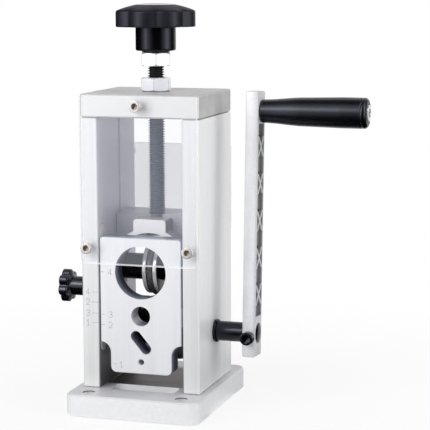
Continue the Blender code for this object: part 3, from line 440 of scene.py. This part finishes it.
def clear_sheet(name, node, colour, alpha, rim_alpha, roughness):
    """Clear acrylic: its faces let nearly all light through, and its sawn edges show pale. A painted
    highlight runs along the faces next to the bottom edge, and fainter next to the top and side edges.
    """
    made = Finish(name, colour, roughness)
    low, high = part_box(node)
    rim = 0.6 * mm
    sawn = made.other(made.math("MAXIMUM", made.facing(front), made.facing(rear)))
    # Painted highlight next to the bottom edge, and fainter next to the top and side edges.
    bottom_highlight = made.along(up, low.z + rim, low.z + rim * 0.8)
    sawn_edge_and_highlight = made.math("MAXIMUM", sawn, bottom_highlight)
    for direction, start in ((down, -high.z), (right, low.x), (left, -high.x)):
        near = made.math("MULTIPLY", made.along(direction, start + rim * 0.7, start + rim * 0.5), 0.3)
        sawn_edge_and_highlight = made.math("MAXIMUM", sawn_edge_and_highlight, near)
    haze = made.noise((25, 25, 25), detail=2)
    face = made.range(haze, 0.3, 0.7, alpha * 0.92, alpha * 1.08)
    made.vary("Alpha", made.math("ADD", face, made.math("MULTIPLY", sawn_edge_and_highlight, rim_alpha)))
    made.colour(made.mix(sawn_edge_and_highlight, colour, tone(252, 252, 253)))
    wear = made.noise((600, 600, 600), detail=3, seed=2.0)
    made.vary("Roughness", made.range(wear, 0.3, 0.7, roughness * 0.7, roughness * 1.5))
    made.material.surface_render_method = "BLENDED"
    return made


clear_front = clear_sheet("clear_front_cover", "front_cover", tone(222, 228, 240), 0.08, 0.45, 0.08)
clear_rear = clear_sheet("clear_rear_cover", "rear_cover", tone(212, 206, 220), 0.2, 0.4, 0.15)

finishes = {
    "base_plate": base_finish(),
    "left_side_plate": left_plate,
    "right_side_plate": right_plate,
    "top_block": block_finish(),
    "front_cover": clear_front,
    "rear_cover": clear_rear,
    "feed_plate": feed_finish(),
    "clamp_strip": nylon,
    "clamp_stud": steel,
    "drive_roller": black_steel,
    "roller_flange_left": black_steel,
    "roller_flange_right": black_steel,
    "shaft_spacer_left": steel,
    "shaft_spacer_right": steel,
    "roller_key": steel,
    "shaft_bush_left": bronze,
    "shaft_bush_right": bronze,
    "crank_arm": arm_finish(),
    "blade_carriage": carriage_finish(),
    "blade_axle": steel,
    "screw_retaining_ring": steel,
}


# Shading of the CAD nodes

def smooth_shading(limit=radians(35)):
    """Node group that shades a mesh of loose triangles smooth, apart from edges above the limit."""
    group = bpy.data.node_groups.new("smooth_shading", "GeometryNodeTree")
    group.is_modifier = True
    group.interface.new_socket("Geometry", in_out="INPUT", socket_type="NodeSocketGeometry")
    group.interface.new_socket("Geometry", in_out="OUTPUT", socket_type="NodeSocketGeometry")
    bare = group.nodes.new("GeometryNodeRemoveAttribute")
    bare.inputs["Name"].default_value = "custom_normal"
    joined = group.nodes.new("GeometryNodeMergeByDistance")
    joined.inputs["Distance"].default_value = 0.000001
    smooth = group.nodes.new("GeometryNodeSetShadeSmooth")
    smooth.domain = "FACE"
    smooth.inputs["Shade Smooth"].default_value = True
    crease = group.nodes.new("GeometryNodeSetShadeSmooth")
    crease.domain = "EDGE"
    crease.inputs["Shade Smooth"].default_value = False
    angle = group.nodes.new("GeometryNodeInputMeshEdgeAngle")
    steep = group.nodes.new("FunctionNodeCompare")
    steep.data_type = "FLOAT"
    steep.operation = "GREATER_THAN"
    steep.inputs["B"].default_value = limit
    group.links.new(angle.outputs["Unsigned Angle"], steep.inputs["A"])
    group.links.new(steep.outputs["Result"], crease.inputs["Selection"])
    start = group.nodes.new("NodeGroupInput")
    end = group.nodes.new("NodeGroupOutput")
    chain = [start, bare, joined, smooth, crease, end]
    for first, second in zip(chain, chain[1:]):
        group.links.new(first.outputs[0], second.inputs[0])
    return group


smoothing = smooth_shading()


def dress(piece, finish):
    """Give a CAD node its material, in the slots that it has, and its smooth shading."""
    for slot in piece.material_slots:
        slot.material = finish.material
    piece.modifiers.new("smooth_shading", "NODES").node_group = smoothing


for name, finish in finishes.items():
    dress(nodes[name], finish)
for name in ("front_cover", "rear_cover"):
    nodes[name].visible_shadow = False
    nodes[name].visible_diffuse = False


# Finer pieces that stand for small CAD nodes

directions = {
    "+X": Matrix(((0, 0, 1), (1, 0, 0), (0, 1, 0))).to_4x4(),
    "-X": Matrix(((0, 0, -1), (0, 1, 0), (1, 0, 0))).to_4x4(),
    "+Y": Matrix(((1, 0, 0), (0, 0, 1), (0, -1, 0))).to_4x4(),
    "-Y": Matrix(((1, 0, 0), (0, 0, -1), (0, 1, 0))).to_4x4(),
    "+Z": Matrix.Identity(4),
    "-Z": Matrix(((1, 0, 0), (0, -1, 0), (0, 0, -1))).to_4x4(),
}


def placed(location, direction="+Z", tilt=0.0):
    """Place of a piece made on +Z that is turned to a direction, and then leans back by the tilt."""
    return Matrix.Translation(location) @ Matrix.Rotation(-tilt, 4, "X") @ directions[direction]


def mesh_piece(name, points, faces, finish, place, node, body, limit=35, extra=None, faces_extra=()):
    """A finer piece in the row frame. faces_extra are the faces that take the extra finish."""
    mesh = bpy.data.meshes.new(name)
    world = [tuple(place @ Vector(p)) for p in points]
    mesh.from_pydata(world, [], faces)
    mesh.validate()
    mesh.materials.append(finish.material)
    if extra is not None:
        mesh.materials.append(extra.material)
        for index in faces_extra:
            mesh.polygons[index].material_index = 1
    piece = bpy.data.objects.new(name, mesh)
    bpy.context.scene.collection.objects.link(piece)
    mesh.shade_smooth()
    mesh.set_sharp_from_angle(angle=radians(limit))
    if node:
        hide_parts(node)
    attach(piece, body)
    return piece


def supported(rows, marked):
    """Add rows just inside the ends of long straight spans, so that smooth shading leaves them straight."""
    made = []
    kept = set()
    for index, (radius, height) in enumerate(rows):
        if index in marked:
            kept.add(len(made))
        made.append((radius, height))
        if index + 1 == len(rows):
            break
        after, high = rows[index + 1]
        if callable(height) or callable(high) or abs(high - height) < 2 * mm:
            continue
        for share in (0.04, 0.96):
            if radius is after:
                reach = radius
            elif callable(radius) or callable(after):
                continue
            else:
                reach = radius + (after - radius) * share
            if index in marked:
                kept.add(len(made))
            made.append((reach, height + (high - height) * share))
    return made, kept


def ring_points(rows, steps, turn=0.0):
    """Rings of points round +Z. Each row is a radius and a height, and either may be a function of
    the angle."""
    points = []
    for radius, height in rows:
        for step in range(steps):
            angle = tau * step / steps + turn
            reach = radius(angle) if callable(radius) else radius
            level = height(angle) if callable(height) else height
            points.append((reach * cos(angle), reach * sin(angle), level))
    return points


def ring_faces(first_row, second_row, steps):
    """Faces between two rings of points."""
    low = first_row * steps
    high = second_row * steps
    faces = []
    for step in range(steps):
        after = (step + 1) % steps
        faces.append((low + step, low + after, high + after, high + step))
    return faces


def fan(first, centre, steps, below):
    """Faces from a ring of points to its centre, for the lower or the upper end of a form."""
    faces = []
    for step in range(steps):
        after = (step + 1) % steps
        pair = (first + after, first + step) if below else (first + step, first + after)
        faces.append((*pair, centre))
    return faces


def lathe(
        name, rows, steps, finish, place, node, body, limit=35, extra=None, extra_rows=(), bored=False,
        turn=0.0):
    """A closed turned form with rows as in ring_points. Its two ends are closed with a fan, or when it
    is bored by a wall from the last row to the first."""
    rows, extra_rows = supported(rows, extra_rows)
    points = ring_points(rows, steps, turn)
    last = len(rows) - 1
    faces = []
    extra_faces = []
    for row in range(last):
        if row in extra_rows:
            extra_faces += range(len(faces), len(faces) + steps)
        faces += ring_faces(row, row + 1, steps)
    if bored:
        faces += ring_faces(last, 0, steps)
    else:
        for row in (0, last):
            centre = len(points)
            height = rows[row][1]
            points.append((0, 0, height(0) if callable(height) else height))
            if row == last and last in extra_rows:
                extra_faces += range(len(faces), len(faces) + steps)
            faces += fan(row * steps, centre, steps, below=row == 0)
    return mesh_piece(
        name, points, faces, finish, place, node, body, limit, extra=extra, faces_extra=extra_faces)


def fillet(radius, height, size, start, stop, steps=4):
    """Profile points round a quarter circle whose centre is at radius and height."""
    rows = []
    for step in range(steps + 1):
        angle = radians(start + (stop - start) * step / steps)
        rows.append((radius + size * cos(angle), height + size * sin(angle)))
    return rows


def tube(name, outer, inner, low, high, edge, steps, finish, place, node, body):
    """A ring or sleeve with rounded outer edges."""
    rows = [(inner, low)]
    rows += fillet(outer - edge, low + edge, edge, -90, 0, 3)
    rows += fillet(outer - edge, high - edge, edge, 0, 90, 3)
    rows.append((inner, high))
    return lathe(name, rows, steps, finish, place, node, body, bored=True)


def hexagon(across, turn=0.0, corner=radians(30)):
    """Radius of a hexagon as a function of the angle. Beyond the corner angle it is turned round."""
    def radius(angle):
        away = (angle - turn) % (pi / 3) - pi / 6
        return across / 2 / cos(min(abs(away), corner))
    return radius


def socket_screw(name, head, head_height, shank, length, socket, finish, inside, place, body):
    """Socket head cap screw on +Z: rounded head, hexagon socket with a conical floor, shank below. Head
    and shank are radii, and the socket is measured across its flats."""
    edge = head_height * 0.1
    floor = head_height * 0.42
    rows = [
        (shank * 0.8, -length),
        (shank, -length + shank * 0.25),
        (shank, -0.05 * mm),
        (shank, 0.0),
        (head - 0.15 * mm, 0.0),
        (head, 0.15 * mm),
    ]
    rows += fillet(head - edge, head_height - edge, edge, 0, 90, 4)
    rows += [
        (socket * 0.62, head_height),
        (hexagon(socket), head_height - 0.25 * mm),
        (hexagon(socket), floor),
        (hexagon(socket * 0.9), floor - 0.05 * mm),
        (socket * 0.15, floor - 0.45 * mm),
    ]
    inner = range(len(rows) - 4, len(rows))
    return lathe(
        name, rows, 48, finish, place, name.replace("_fine", ""), body, limit=30, extra=inside,
        extra_rows=inner)


def cover_screw(name, direction):
    """M4 cap screw of a cover. Its head lies at the front or rear end of its CAD node."""
    head_height = 4 * mm
    low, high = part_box(name)
    centre = middle(name)
    seat = low.y + head_height if direction == "-Y" else high.y - head_height
    socket_screw(
        name + "_fine", head=3.5 * mm, head_height=head_height, shank=2 * mm, length=12 * mm,
        socket=3.3 * mm, finish=steel, inside=socket_reflection_steel,
        place=placed((centre.x, seat, centre.z), direction), body="housing")


for name in ("top", "left", "right"):
    cover_screw("front_cover_screw_" + name, "-Y")
for number in range(1, 5):
    cover_screw("rear_cover_screw_%d" % number, "+Y")

clamp_seat = shaft_axis + Matrix.Rotation(-crank_tilt, 3, "X") @ Vector(
    (middle("crank_arm").x, -7.95 * mm, -2 * mm))
socket_screw(
    "crank_clamp_screw_fine", head=4 * mm, head_height=5 * mm, shank=2.5 * mm, length=1.2 * mm,
    socket=4 * mm, finish=black_steel, inside=black_steel, place=placed(clamp_seat, "-Y", crank_tilt),
    body="crank")


def hex_nut(name, node, turn, finish, body):
    """Hexagon nut with both ends turned to a 30 degree chamfer."""
    low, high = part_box(node)
    across = 17 * mm
    circle = across / 2 * 0.955
    bore = 5.3 * mm
    outline = hexagon(across, turn, radians(27.9))

    def depth(angle):
        return max(0.0, (outline(angle) - circle) * 0.577)

    rows = [
        (bore, low.z + 0.5 * mm),
        (bore + 0.5 * mm, low.z),
        (circle, low.z),
        (outline, lambda angle: low.z + depth(angle)),
        (outline, lambda angle: high.z - depth(angle)),
        (circle, high.z),
        (bore + 0.5 * mm, high.z),
        (bore, high.z - 0.5 * mm),
    ]
    return lathe(
        name, rows, 180, finish, placed((0, axis_y, 0)), node, body, limit=22, bored=True, turn=turn)


hex_nut("lock_nut_fine", "lock_nut", radians(40.5), zinc, "locking")
hex_nut("knob_jam_nut_fine", "knob_jam_nut", radians(49.5), zinc, "screw")


def threaded_screw():
    """Threaded part of the adjusting screw, above its plain journal. Shape holds one turn's profile."""
    pitch = 1.5 * mm
    crest = 4.98 * mm
    root = 3.95 * mm
    low = journal_top
    high = screw_high
    steps = 36
    shape = ((0.0, crest), (0.16, crest), (0.42, root), (0.74, root))
    rows = []
    turn = -1
    while turn * pitch < high - low + pitch:
        for share, radius in shape:
            rows.append((turn + share, radius))
        turn += 1
    points = []
    faces = []
    for place, radius in rows:
        for step in range(steps):
            angle = tau * step / steps
            level = low + (place + step / steps) * pitch
            level = min(max(level, low), high)
            points.append((radius * cos(angle), radius * sin(angle), level))
    for row in range(len(rows) - 1):
        for step in range(steps):
            after = (step + 1) % steps
            lift = len(shape) if after == 0 else 0
            if row + lift + 1 >= len(rows):
                continue
            one = row * steps + step
            two = (row + lift) * steps + after
            faces.append((one, two, two + steps, one + steps))
    for level in (low, high):
        centre = len(points)
        points.append((0, 0, level))
        points += ring_points([(crest, level)], steps)
        faces += fan(centre + 1, centre, steps, below=level == low)
    return mesh_piece(
        "adjusting_screw_thread", points, faces, thread_steel, placed((0, axis_y, 0)), "adjusting_screw",
        "screw", limit=40)


threaded_screw()
lathe(
    "adjusting_screw_journal",
    [(3.3 * mm, screw_low), (3.7 * mm, screw_low + 0.4 * mm), (3.7 * mm, journal_top)],
    36, journal_steel, placed((0, axis_y, 0)), None, "screw")


def lobed(radius, dip, lobes, turn, sharp=0.85):
    """Radius of round lobes with narrow valleys, dip deep."""
    def reach(angle):
        wave = abs(cos(lobes * (angle - turn) / 2))
        soft = (wave * wave + (1 - sharp) ** 2) ** 0.5
        return radius - dip * (1 - min(soft, 1.0))
    return reach


def star_knob():
    """Eight-lobed knob with a domed top, a hub below and a recess for its cap."""
    hub_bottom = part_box("star_knob")[0].z
    collar_top = hub_bottom + 0.8 * mm
    knob_bottom = collar_top + 14.3 * mm
    shoulder = knob_bottom + 9.8 * mm
    rim = 24.95 * mm
    dip = 2.6 * mm
    turn = radians(-3)
    cap = 11.7 * mm
    dome = 4.4 * mm
    edge = rim - 0.9 * mm

    def side(inset):
        return lobed(rim - inset, dip, 8, turn)

    rim_side = side(0.0)
    rows = [
        (5.3 * mm, hub_bottom),
        (8.3 * mm, hub_bottom),
        (8.5 * mm, hub_bottom + 0.2 * mm),
        (8.5 * mm, collar_top),
        (11.2 * mm, collar_top),
        (11.8 * mm, collar_top + 0.25 * mm),
        (12.15 * mm, collar_top + 0.9 * mm),
        (12.15 * mm, knob_bottom - 0.6 * mm),
        (12.4 * mm, knob_bottom - 0.1 * mm),
        (13.0 * mm, knob_bottom),
        (side(0.6 * mm), knob_bottom),
        (side(0.18 * mm), knob_bottom + 0.18 * mm),
        (rim_side, knob_bottom + 0.6 * mm),
        (rim_side, shoulder - 1.1 * mm),
    ]
    first_dome_row = len(rows)
    rows += [(side(0.2 * mm), shoulder - 0.45 * mm), (side(0.8 * mm), shoulder + 0.02 * mm)]
    for part in (0.93, 0.86, 0.78, 0.7, 0.62, 0.55, 0.51):
        radius = edge * part
        rows.append((
            lobed(radius, dip * part ** 5, 8, turn, sharp=0.7),
            shoulder + dome * (1 - part ** 2)))
    lip = shoulder + dome * (1 - (cap / edge) ** 2)
    rows += [(cap + 0.15 * mm, lip), (cap, lip - 0.15 * mm), (cap, lip - 1.2 * mm)]
    return lathe(
        "star_knob_fine", rows, 160, knob_plastic, placed((0, axis_y, 0)), "star_knob", "screw",
        limit=50, extra=knob_dome, extra_rows=range(first_dome_row, len(rows)))


star_knob()
cap_low, cap_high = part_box("star_knob_cap")
cap_edge = cap_high.z - 0.72 * mm
cap_reach = 11.55 * mm
cap_rows = [(11.2 * mm, cap_low.z), (cap_reach, cap_low.z + 0.1 * mm), (cap_reach, cap_edge - 0.1 * mm)]
cap_border = ((0.985, 0.0), (0.95, 0.2), (0.85, 0.46))
cap_badge = ((0.72, 0.6), (0.7, 0.58), (0.5, 0.66), (0.2, 0.72))
cap_rows += [(cap_reach * part, cap_edge + rise * mm) for part, rise in cap_border + cap_badge]
lathe(
    "star_knob_cap_fine", cap_rows, 96, knob_cap, placed((0, axis_y, 0)), "star_knob_cap", "screw",
    extra=knob_badge, extra_rows=range(len(cap_rows) - len(cap_badge), len(cap_rows)))


def clamp_knob():
    """Seven-lobed knob on a round hub, on the left side."""
    low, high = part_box("clamp_knob")
    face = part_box("left_side_plate")[0].x
    centre = middle("clamp_stud")
    near = face - high.x
    far = face - low.x
    neck = near + 8.2 * mm
    rim = 9.95 * mm
    dip = 2.2 * mm
    turn = radians(-3)

    def side(inset):
        return lobed(rim - inset, dip, 7, turn)

    rim_side = side(0.0)
    rows = [
        (3.3 * mm, near),
        (5.5 * mm, near),
        (5.75 * mm, near + 0.25 * mm),
        (5.75 * mm, neck - 0.3 * mm),
        (6.1 * mm, neck),
        (side(0.8 * mm), neck + 0.5 * mm),
        (side(0.25 * mm), neck + 0.75 * mm),
        (rim_side, neck + 1.3 * mm),
        (rim_side, far - 1.4 * mm),
        (side(0.25 * mm), far - 0.85 * mm),
        (side(0.9 * mm), far - 0.5 * mm),
        (side(2.4 * mm), far - 0.25 * mm),
        (5.0 * mm, far - 0.08 * mm),
        (2.0 * mm, far),
    ]
    return lathe(
        "clamp_knob_fine", rows, 140, clamp_plastic, placed((face, centre.y, centre.z), "-X"), "clamp_knob",
        "clamp", limit=42)


clamp_knob()


def grip():
    """Tapered turning grip with a ring groove near its end."""
    low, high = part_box("handle_grip")
    near = low.x
    far = high.x
    small = 7 * mm
    waist = 8.6 * mm
    large = 9.15 * mm
    rows = [(4.3 * mm, near)]
    rows += fillet(small - 0.8 * mm, near + 0.8 * mm, 0.8 * mm, -90, 0)
    for step in range(1, 13):
        share = step / 12
        ease = share * share * (3 - 2 * share)
        rows.append((small + (waist - small) * ease, near + 0.8 * mm + 26 * mm * share))
    ring_x = far - 3.4 * mm
    rows += [(large, ring_x - 12 * mm), (large, ring_x - 0.4 * mm), (large - 0.12 * mm, ring_x - 0.3 * mm)]
    rows += [(large - 0.35 * mm, ring_x), (large - 0.12 * mm, ring_x + 0.3 * mm)]
    rows += fillet(large - 2.4 * mm, far - 2.4 * mm, 2.4 * mm, 0, 90, 6)
    rows += [(5.4 * mm, far), (5.3 * mm, far - 0.1 * mm)]
    rows += [(5.3 * mm, far - 3.3 * mm), (4.3 * mm, far - 3.3 * mm)]
    return lathe(
        "handle_grip_fine", rows, 72, grip_plastic, placed(handle_axis, "+X"), "handle_grip", "handle",
        limit=40, bored=True)


grip()
grip_low, grip_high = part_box("handle_grip")
spindle_low, spindle_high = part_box("handle_spindle")
head_low = grip_high.x - 3.0 * mm
spindle_rows = [
    (2.7 * mm, spindle_low.x),
    (3.0 * mm, spindle_low.x + 0.3 * mm),
    (3.0 * mm, grip_low.x),
    (4.0 * mm, grip_low.x),
    (4.0 * mm, head_low),
    (4.95 * mm, head_low),
]
spindle_rows += fillet(4.45 * mm, spindle_high.x - 0.5 * mm, 0.5 * mm, 0, 90)
spindle_rows += [
    (3.0 * mm, spindle_high.x),
    (hexagon(5 * mm), spindle_high.x - 0.3 * mm),
    (hexagon(5 * mm), spindle_high.x - 2.4 * mm),
    (1 * mm, spindle_high.x - 2.9 * mm),
]
lathe(
    "handle_spindle_fine", spindle_rows, 72, steel, placed(handle_axis, "+X"), "handle_spindle", "crank",
    limit=30)

shaft_low, shaft_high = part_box("drive_shaft")
shaft_rows = [(5.2 * mm, shaft_low.x)]
shaft_rows += [(6 * mm, shaft_low.x + 0.8 * mm), (6 * mm, shaft_high.x - 0.8 * mm), (5.2 * mm, shaft_high.x)]
shaft_rows += [(2.6 * mm, shaft_high.x), (1.2 * mm, shaft_high.x - 1.2 * mm)]
lathe(
    "drive_shaft_fine", shaft_rows, 72, black_steel, placed(shaft_axis, "+X", crank_tilt), "drive_shaft",
    "crank", limit=30, extra=shaft_end, extra_rows=range(2, len(shaft_rows)))
ring_low, ring_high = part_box("shaft_ring")
tube(
    "shaft_ring_fine", (ring_high.z - ring_low.z) / 2, 6.25 * mm, ring_low.x, ring_high.x, 0.35 * mm, 72,
    black_steel, placed(shaft_axis, "+X"), "shaft_ring", "crank")

axle_bore = 4.3 * mm
blade_low, blade_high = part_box("blade_disc")
blade_reach = (blade_high.z - blade_low.z) / 2
blade_rows = [
    (axle_bore, blade_low.x),
    (blade_reach - 1.1 * mm, blade_low.x),
    (blade_reach - 0.95 * mm, blade_low.x + 0.06 * mm),
    (blade_reach, -0.1 * mm),
    (blade_reach, 0.1 * mm),
    (blade_reach - 0.95 * mm, blade_high.x - 0.06 * mm),
    (blade_reach - 1.1 * mm, blade_high.x),
    (axle_bore, blade_high.x),
]
lathe(
    "blade_disc_fine", blade_rows, 128, blade_steel, placed(blade_axis, "+X"), "blade_disc", "blade",
    limit=25, bored=True)
for side in ("left", "right"):
    low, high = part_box("blade_ring_" + side)
    tube(
        "blade_ring_%s_fine" % side, (high.z - low.z) / 2, axle_bore, low.x, high.x, 0.5 * mm, 128,
        ring_steel, placed(blade_axis, "+X"), "blade_ring_" + side, "blade")
    low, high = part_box("blade_spacer_" + side)
    tube(
        "blade_spacer_%s_fine" % side, 8 * mm, axle_bore, low.x, high.x, 0.4 * mm, 72, black_steel,
        placed(blade_axis, "+X"), "blade_spacer_" + side, "carriage")

for name in ("base_screw", "top_block_stud"):
    for number in range(1, 5):
        dress(nodes["%s_%d" % (name, number)], steel)


# Scale marks: plain ticks and numbers on the left side plate and the feed plate

digits = {
    "1": [[(-0.35, 0.62), (0.0, 1.0), (0.0, 0.0)], [(-0.35, 0.0), (0.35, 0.0)]],
    "2": [[
        (-0.5, 0.72), (-0.42, 0.9), (-0.2, 1.0), (0.15, 1.0), (0.4, 0.88), (0.48, 0.68), (0.38, 0.48),
        (-0.5, 0.0), (0.52, 0.0)]],
    "3": [[
        (-0.48, 0.85), (-0.2, 1.0), (0.18, 1.0), (0.42, 0.88), (0.44, 0.66), (0.25, 0.54), (-0.1, 0.52),
        (0.25, 0.5), (0.5, 0.36), (0.48, 0.14), (0.2, 0.0), (-0.2, 0.0), (-0.5, 0.14)]],
    "4": [[(0.2, 0.0), (0.2, 1.0), (-0.5, 0.3), (0.5, 0.3)]],
}


def stroke(points, faces, path, width, proud, sunk):
    """Add a closed strip along a path on a plane that faces -Y, between two depths."""
    for (x0, z0), (x1, z1) in zip(path, path[1:]):
        length = ((x1 - x0) ** 2 + (z1 - z0) ** 2) ** 0.5
        along = ((x1 - x0) / length * width / 2, (z1 - z0) / length * width / 2)
        across = (-along[1], along[0])
        first = len(points)
        for depth in (proud, sunk):
            for x, z, end in ((x0, z0, -1), (x1, z1, 1)):
                for side in (-1, 1):
                    points.append((
                        x + along[0] * end * 0.6 + across[0] * side, depth,
                        z + along[1] * end * 0.6 + across[1] * side))
        for face in ((0, 1, 3, 2), (4, 6, 7, 5), (0, 2, 6, 4), (1, 5, 7, 3), (0, 4, 5, 1), (2, 3, 7, 6)):
            faces.append(tuple(first + k for k in face))


def scale_marks(name, marks, face_y, body, height=3.6 * mm, width=0.28 * mm):
    """Marks are (tick start x, tick end x, number x, z, number), in millimetres."""
    points = []
    faces = []
    proud = face_y - 0.03 * mm
    sunk = face_y + 0.1 * mm
    for start, stop, number_x, z, text in marks:
        stroke(points, faces, [(start * mm, z * mm), (stop * mm, z * mm)], width, proud, sunk)
        for path in digits[text]:
            outline = [(number_x * mm + x * height * 0.62, z * mm + (y - 0.5) * height) for x, y in path]
            stroke(points, faces, outline, width, proud, sunk)
    return mesh_piece(name, points, faces, ink, Matrix.Identity(4), None, body, limit=20)


scale_marks(
    "housing_scale",
    [(-30.8, -26.9, -33.6, 72.4, "4"), (-30.8, -26.9, -33.6, 66.3, "2"),
     (-30.8, -26.9, -33.6, 59.5, "3"), (-30.8, -26.9, -33.6, 53.6, "1")],
    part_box("left_side_plate")[0].y, "housing")
scale_marks(
    "feed_scale",
    [(-25.2, -23.0, -19.2, 85.0, "4"), (-25.2, -23.0, -19.2, 59.1, "3"),
     (-25.2, -23.0, -19.2, 52.8, "2"), (-17.6, -15.4, -12.6, 29.0, "1")],
    feed_front, "feed")


# Camera at the photograph's view

photo_pixels = 430
focal_pixels = 1608
sensor = 36
azimuth = radians(17.46)
lift = radians(8.35)
roll = radians(-0.20)
forward = Vector((-sin(azimuth) * cos(lift), cos(azimuth) * cos(lift), -sin(lift)))
level = Vector((cos(azimuth), sin(azimuth), 0))
upward = level.cross(forward)
camera_right = cos(roll) * level + sin(roll) * upward
camera_up = cos(roll) * upward - sin(roll) * level
camera_place = Vector((0.3249, -0.9143, 0.2583))
camera_data = bpy.data.cameras.new("camera")
camera_data.sensor_width = sensor
camera_data.lens = focal_pixels * sensor / photo_pixels
camera_data.clip_start = 0.05
camera = bpy.data.objects.new("camera", camera_data)
camera_matrix = Matrix((camera_right, camera_up, -forward)).transposed().to_4x4()
camera_matrix.translation = camera_place
camera.matrix_world = camera_matrix
bpy.context.scene.collection.objects.link(camera)
bpy.context.scene.camera = camera


# Floor, lamps and world

def seen_directly(tree):
    """1 for rays of the camera, of reflections and through clear parts, 0 for the light on surfaces."""
    path = tree.nodes.new("ShaderNodeLightPath")
    seen = path.outputs["Is Camera Ray"]
    for kind in ("Is Glossy Ray", "Is Transmission Ray"):
        either = tree.nodes.new("ShaderNodeMath")
        either.operation = "MAXIMUM"
        tree.links.new(seen, either.inputs[0])
        tree.links.new(path.outputs[kind], either.inputs[1])
        seen = either.outputs[0]
    return seen


def show(tree, output, factor, first, second):
    """Send the mix of two shaders to an output node."""
    mix = tree.nodes.new("ShaderNodeMixShader")
    tree.links.new(factor, mix.inputs["Fac"])
    tree.links.new(first, mix.inputs[1])
    tree.links.new(second, mix.inputs[2])
    tree.links.new(mix.outputs["Shader"], tree.nodes[output].inputs["Surface"])


def plain_floor():
    """Pale floor that keeps the object's shadow and runs out to white."""
    mesh = bpy.data.meshes.new("floor")
    reach = 6
    mesh.from_pydata(
        [(-reach, -reach, 0), (reach, -reach, 0), (reach, reach, 0), (-reach, reach, 0)], [], [(0, 1, 2, 3)])
    floor = bpy.data.objects.new("floor", mesh)
    floor.location.z = -0.2 * mm
    bpy.context.scene.collection.objects.link(floor)
    made = Finish("pale_floor", (0.93, 0.93, 0.935, 1), 0.7, specular=0.1)
    noise = made.node("ShaderNodeTexNoise", Scale=3.0)
    made.link(made.place, noise.inputs["Vector"])
    made.vary("Roughness", made.range(noise.outputs["Fac"], 0.0, 1.0, 0.66, 0.74))
    away = made.range(made.vector("LENGTH", made.place)["Value"], 0.06, 0.34, 0.82, 1.0)
    glow = made.node("ShaderNodeEmission", Color=(1, 1, 1, 1), Strength=1.0)
    show(
        made.tree, "Material Output", made.math("MULTIPLY", seen_directly(made.tree), away),
        made.shader.outputs["BSDF"], glow.outputs["Emission"])
    mesh.materials.append(made.material)
    floor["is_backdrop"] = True


def aimed(thing, location, target):
    """Link a thing at a place, turned to a target."""
    thing.location = location
    away = Vector(location) - Vector(target)
    thing.rotation_mode = "QUATERNION"
    thing.rotation_quaternion = away.to_track_quat("Z", "Y")
    bpy.context.scene.collection.objects.link(thing)


def softbox(name, location, width, height, power, target=(0, 0, 0.12)):
    """A rectangular lamp in metres and watts."""
    data = bpy.data.lights.new(name, "AREA")
    data.shape = "RECTANGLE"
    data.size = width
    data.size_y = height
    data.energy = power
    aimed(bpy.data.objects.new(name, data), location, target)


def black_cloth(name, points, faces, roughness, specular):
    """Nearly black studio cloth. Only reflections show it."""
    mesh = bpy.data.meshes.new(name)
    mesh.from_pydata(points, [], faces)
    mesh.materials.append(Finish(name, (0.006, 0.006, 0.006, 1), roughness, specular=specular).material)
    cloth = bpy.data.objects.new(name, mesh)
    for kind in ("camera", "diffuse", "transmission", "volume_scatter", "shadow"):
        setattr(cloth, "visible_" + kind, False)
    return cloth


def card(name, location, size, target):
    """A square black card."""
    half = size / 2
    corners = [(-half, -half, 0), (half, -half, 0), (half, half, 0), (-half, half, 0)]
    made = black_cloth(name, corners, [(0, 1, 2, 3)], 0.9, 0.5)
    aimed(made, location, target)
    made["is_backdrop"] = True


def dark_wing(name, start, stop, near, reach=1.5, height=1.6):
    """Black cloth, from near out to its reach on the floor and then up, between two azimuths."""
    points = []
    faces = []
    steps = 12
    lift = 1 * mm
    for step in range(steps + 1):
        azimuth = start + (stop - start) * step / steps
        points += [around(azimuth, near, lift), around(azimuth, reach, lift), around(azimuth, reach, height)]
    for step in range(steps):
        first = step * 3
        faces += [(first, first + 1, first + 4, first + 3), (first + 1, first + 2, first + 5, first + 4)]
    wing = black_cloth(name, points, faces, 1.0, 0.0)
    bpy.context.scene.collection.objects.link(wing)
    wing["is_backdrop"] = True


def around(azimuth, distance, height):
    """A place round the object. Azimuth 0 is the front, and 90 the right."""
    angle = radians(azimuth)
    return (distance * sin(angle), -distance * cos(angle), height)


def studio():
    """Two strip lamps and a front lamp, black cloth with white gaps between that black parts reflect, and
    a world that is white where it is seen and softer as a light."""
    distance = 1.3
    strip_middle = 0.75
    strip_length = 1.45
    aim = (0, 0, strip_middle)
    softbox("left_strip", around(-40, distance, strip_middle), 0.1, strip_length, 5.0, aim)
    softbox("right_strip", around(87, distance, strip_middle), 0.5, strip_length, 6.0, aim)
    softbox("front_box", around(-20, distance, 0.8), 0.6, 0.5, 4.6)
    near = 0.05
    flat = 0.002
    dark_wing("middle_wing", -11, 57, near)
    dark_wing("left_wing", -66, -150, near)
    dark_wing("right_wing", 110, 150, near)
    dark_wing("near_left_wing", -66, -11, near, reach=0.4, height=flat)
    dark_wing("near_right_wing", 57, 110, near, reach=0.7, height=flat)
    dark_wing("near_rear_wing", 150, 210, near, reach=0.14, height=flat)
    card("roof_card", (0, 0, 1.6), 1.4, (0, 0, 0))
    world = bpy.data.worlds.new("studio")
    bpy.context.scene.world = world
    world.use_nodes = True
    tree = world.node_tree
    background = tree.nodes["Background"]
    background.inputs["Color"].default_value = (1, 1, 1, 1)
    background.inputs["Strength"].default_value = 1.0
    soft = tree.nodes.new("ShaderNodeBackground")
    soft.inputs["Color"].default_value = (0.97, 0.98, 1.0, 1)
    soft.inputs["Strength"].default_value = 0.6
    show(
        tree, "World Output", seen_directly(tree), soft.outputs["Background"],
        background.outputs["Background"])


plain_floor()
studio()
bpy.context.scene.view_settings.view_transform = "Standard"

low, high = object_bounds()
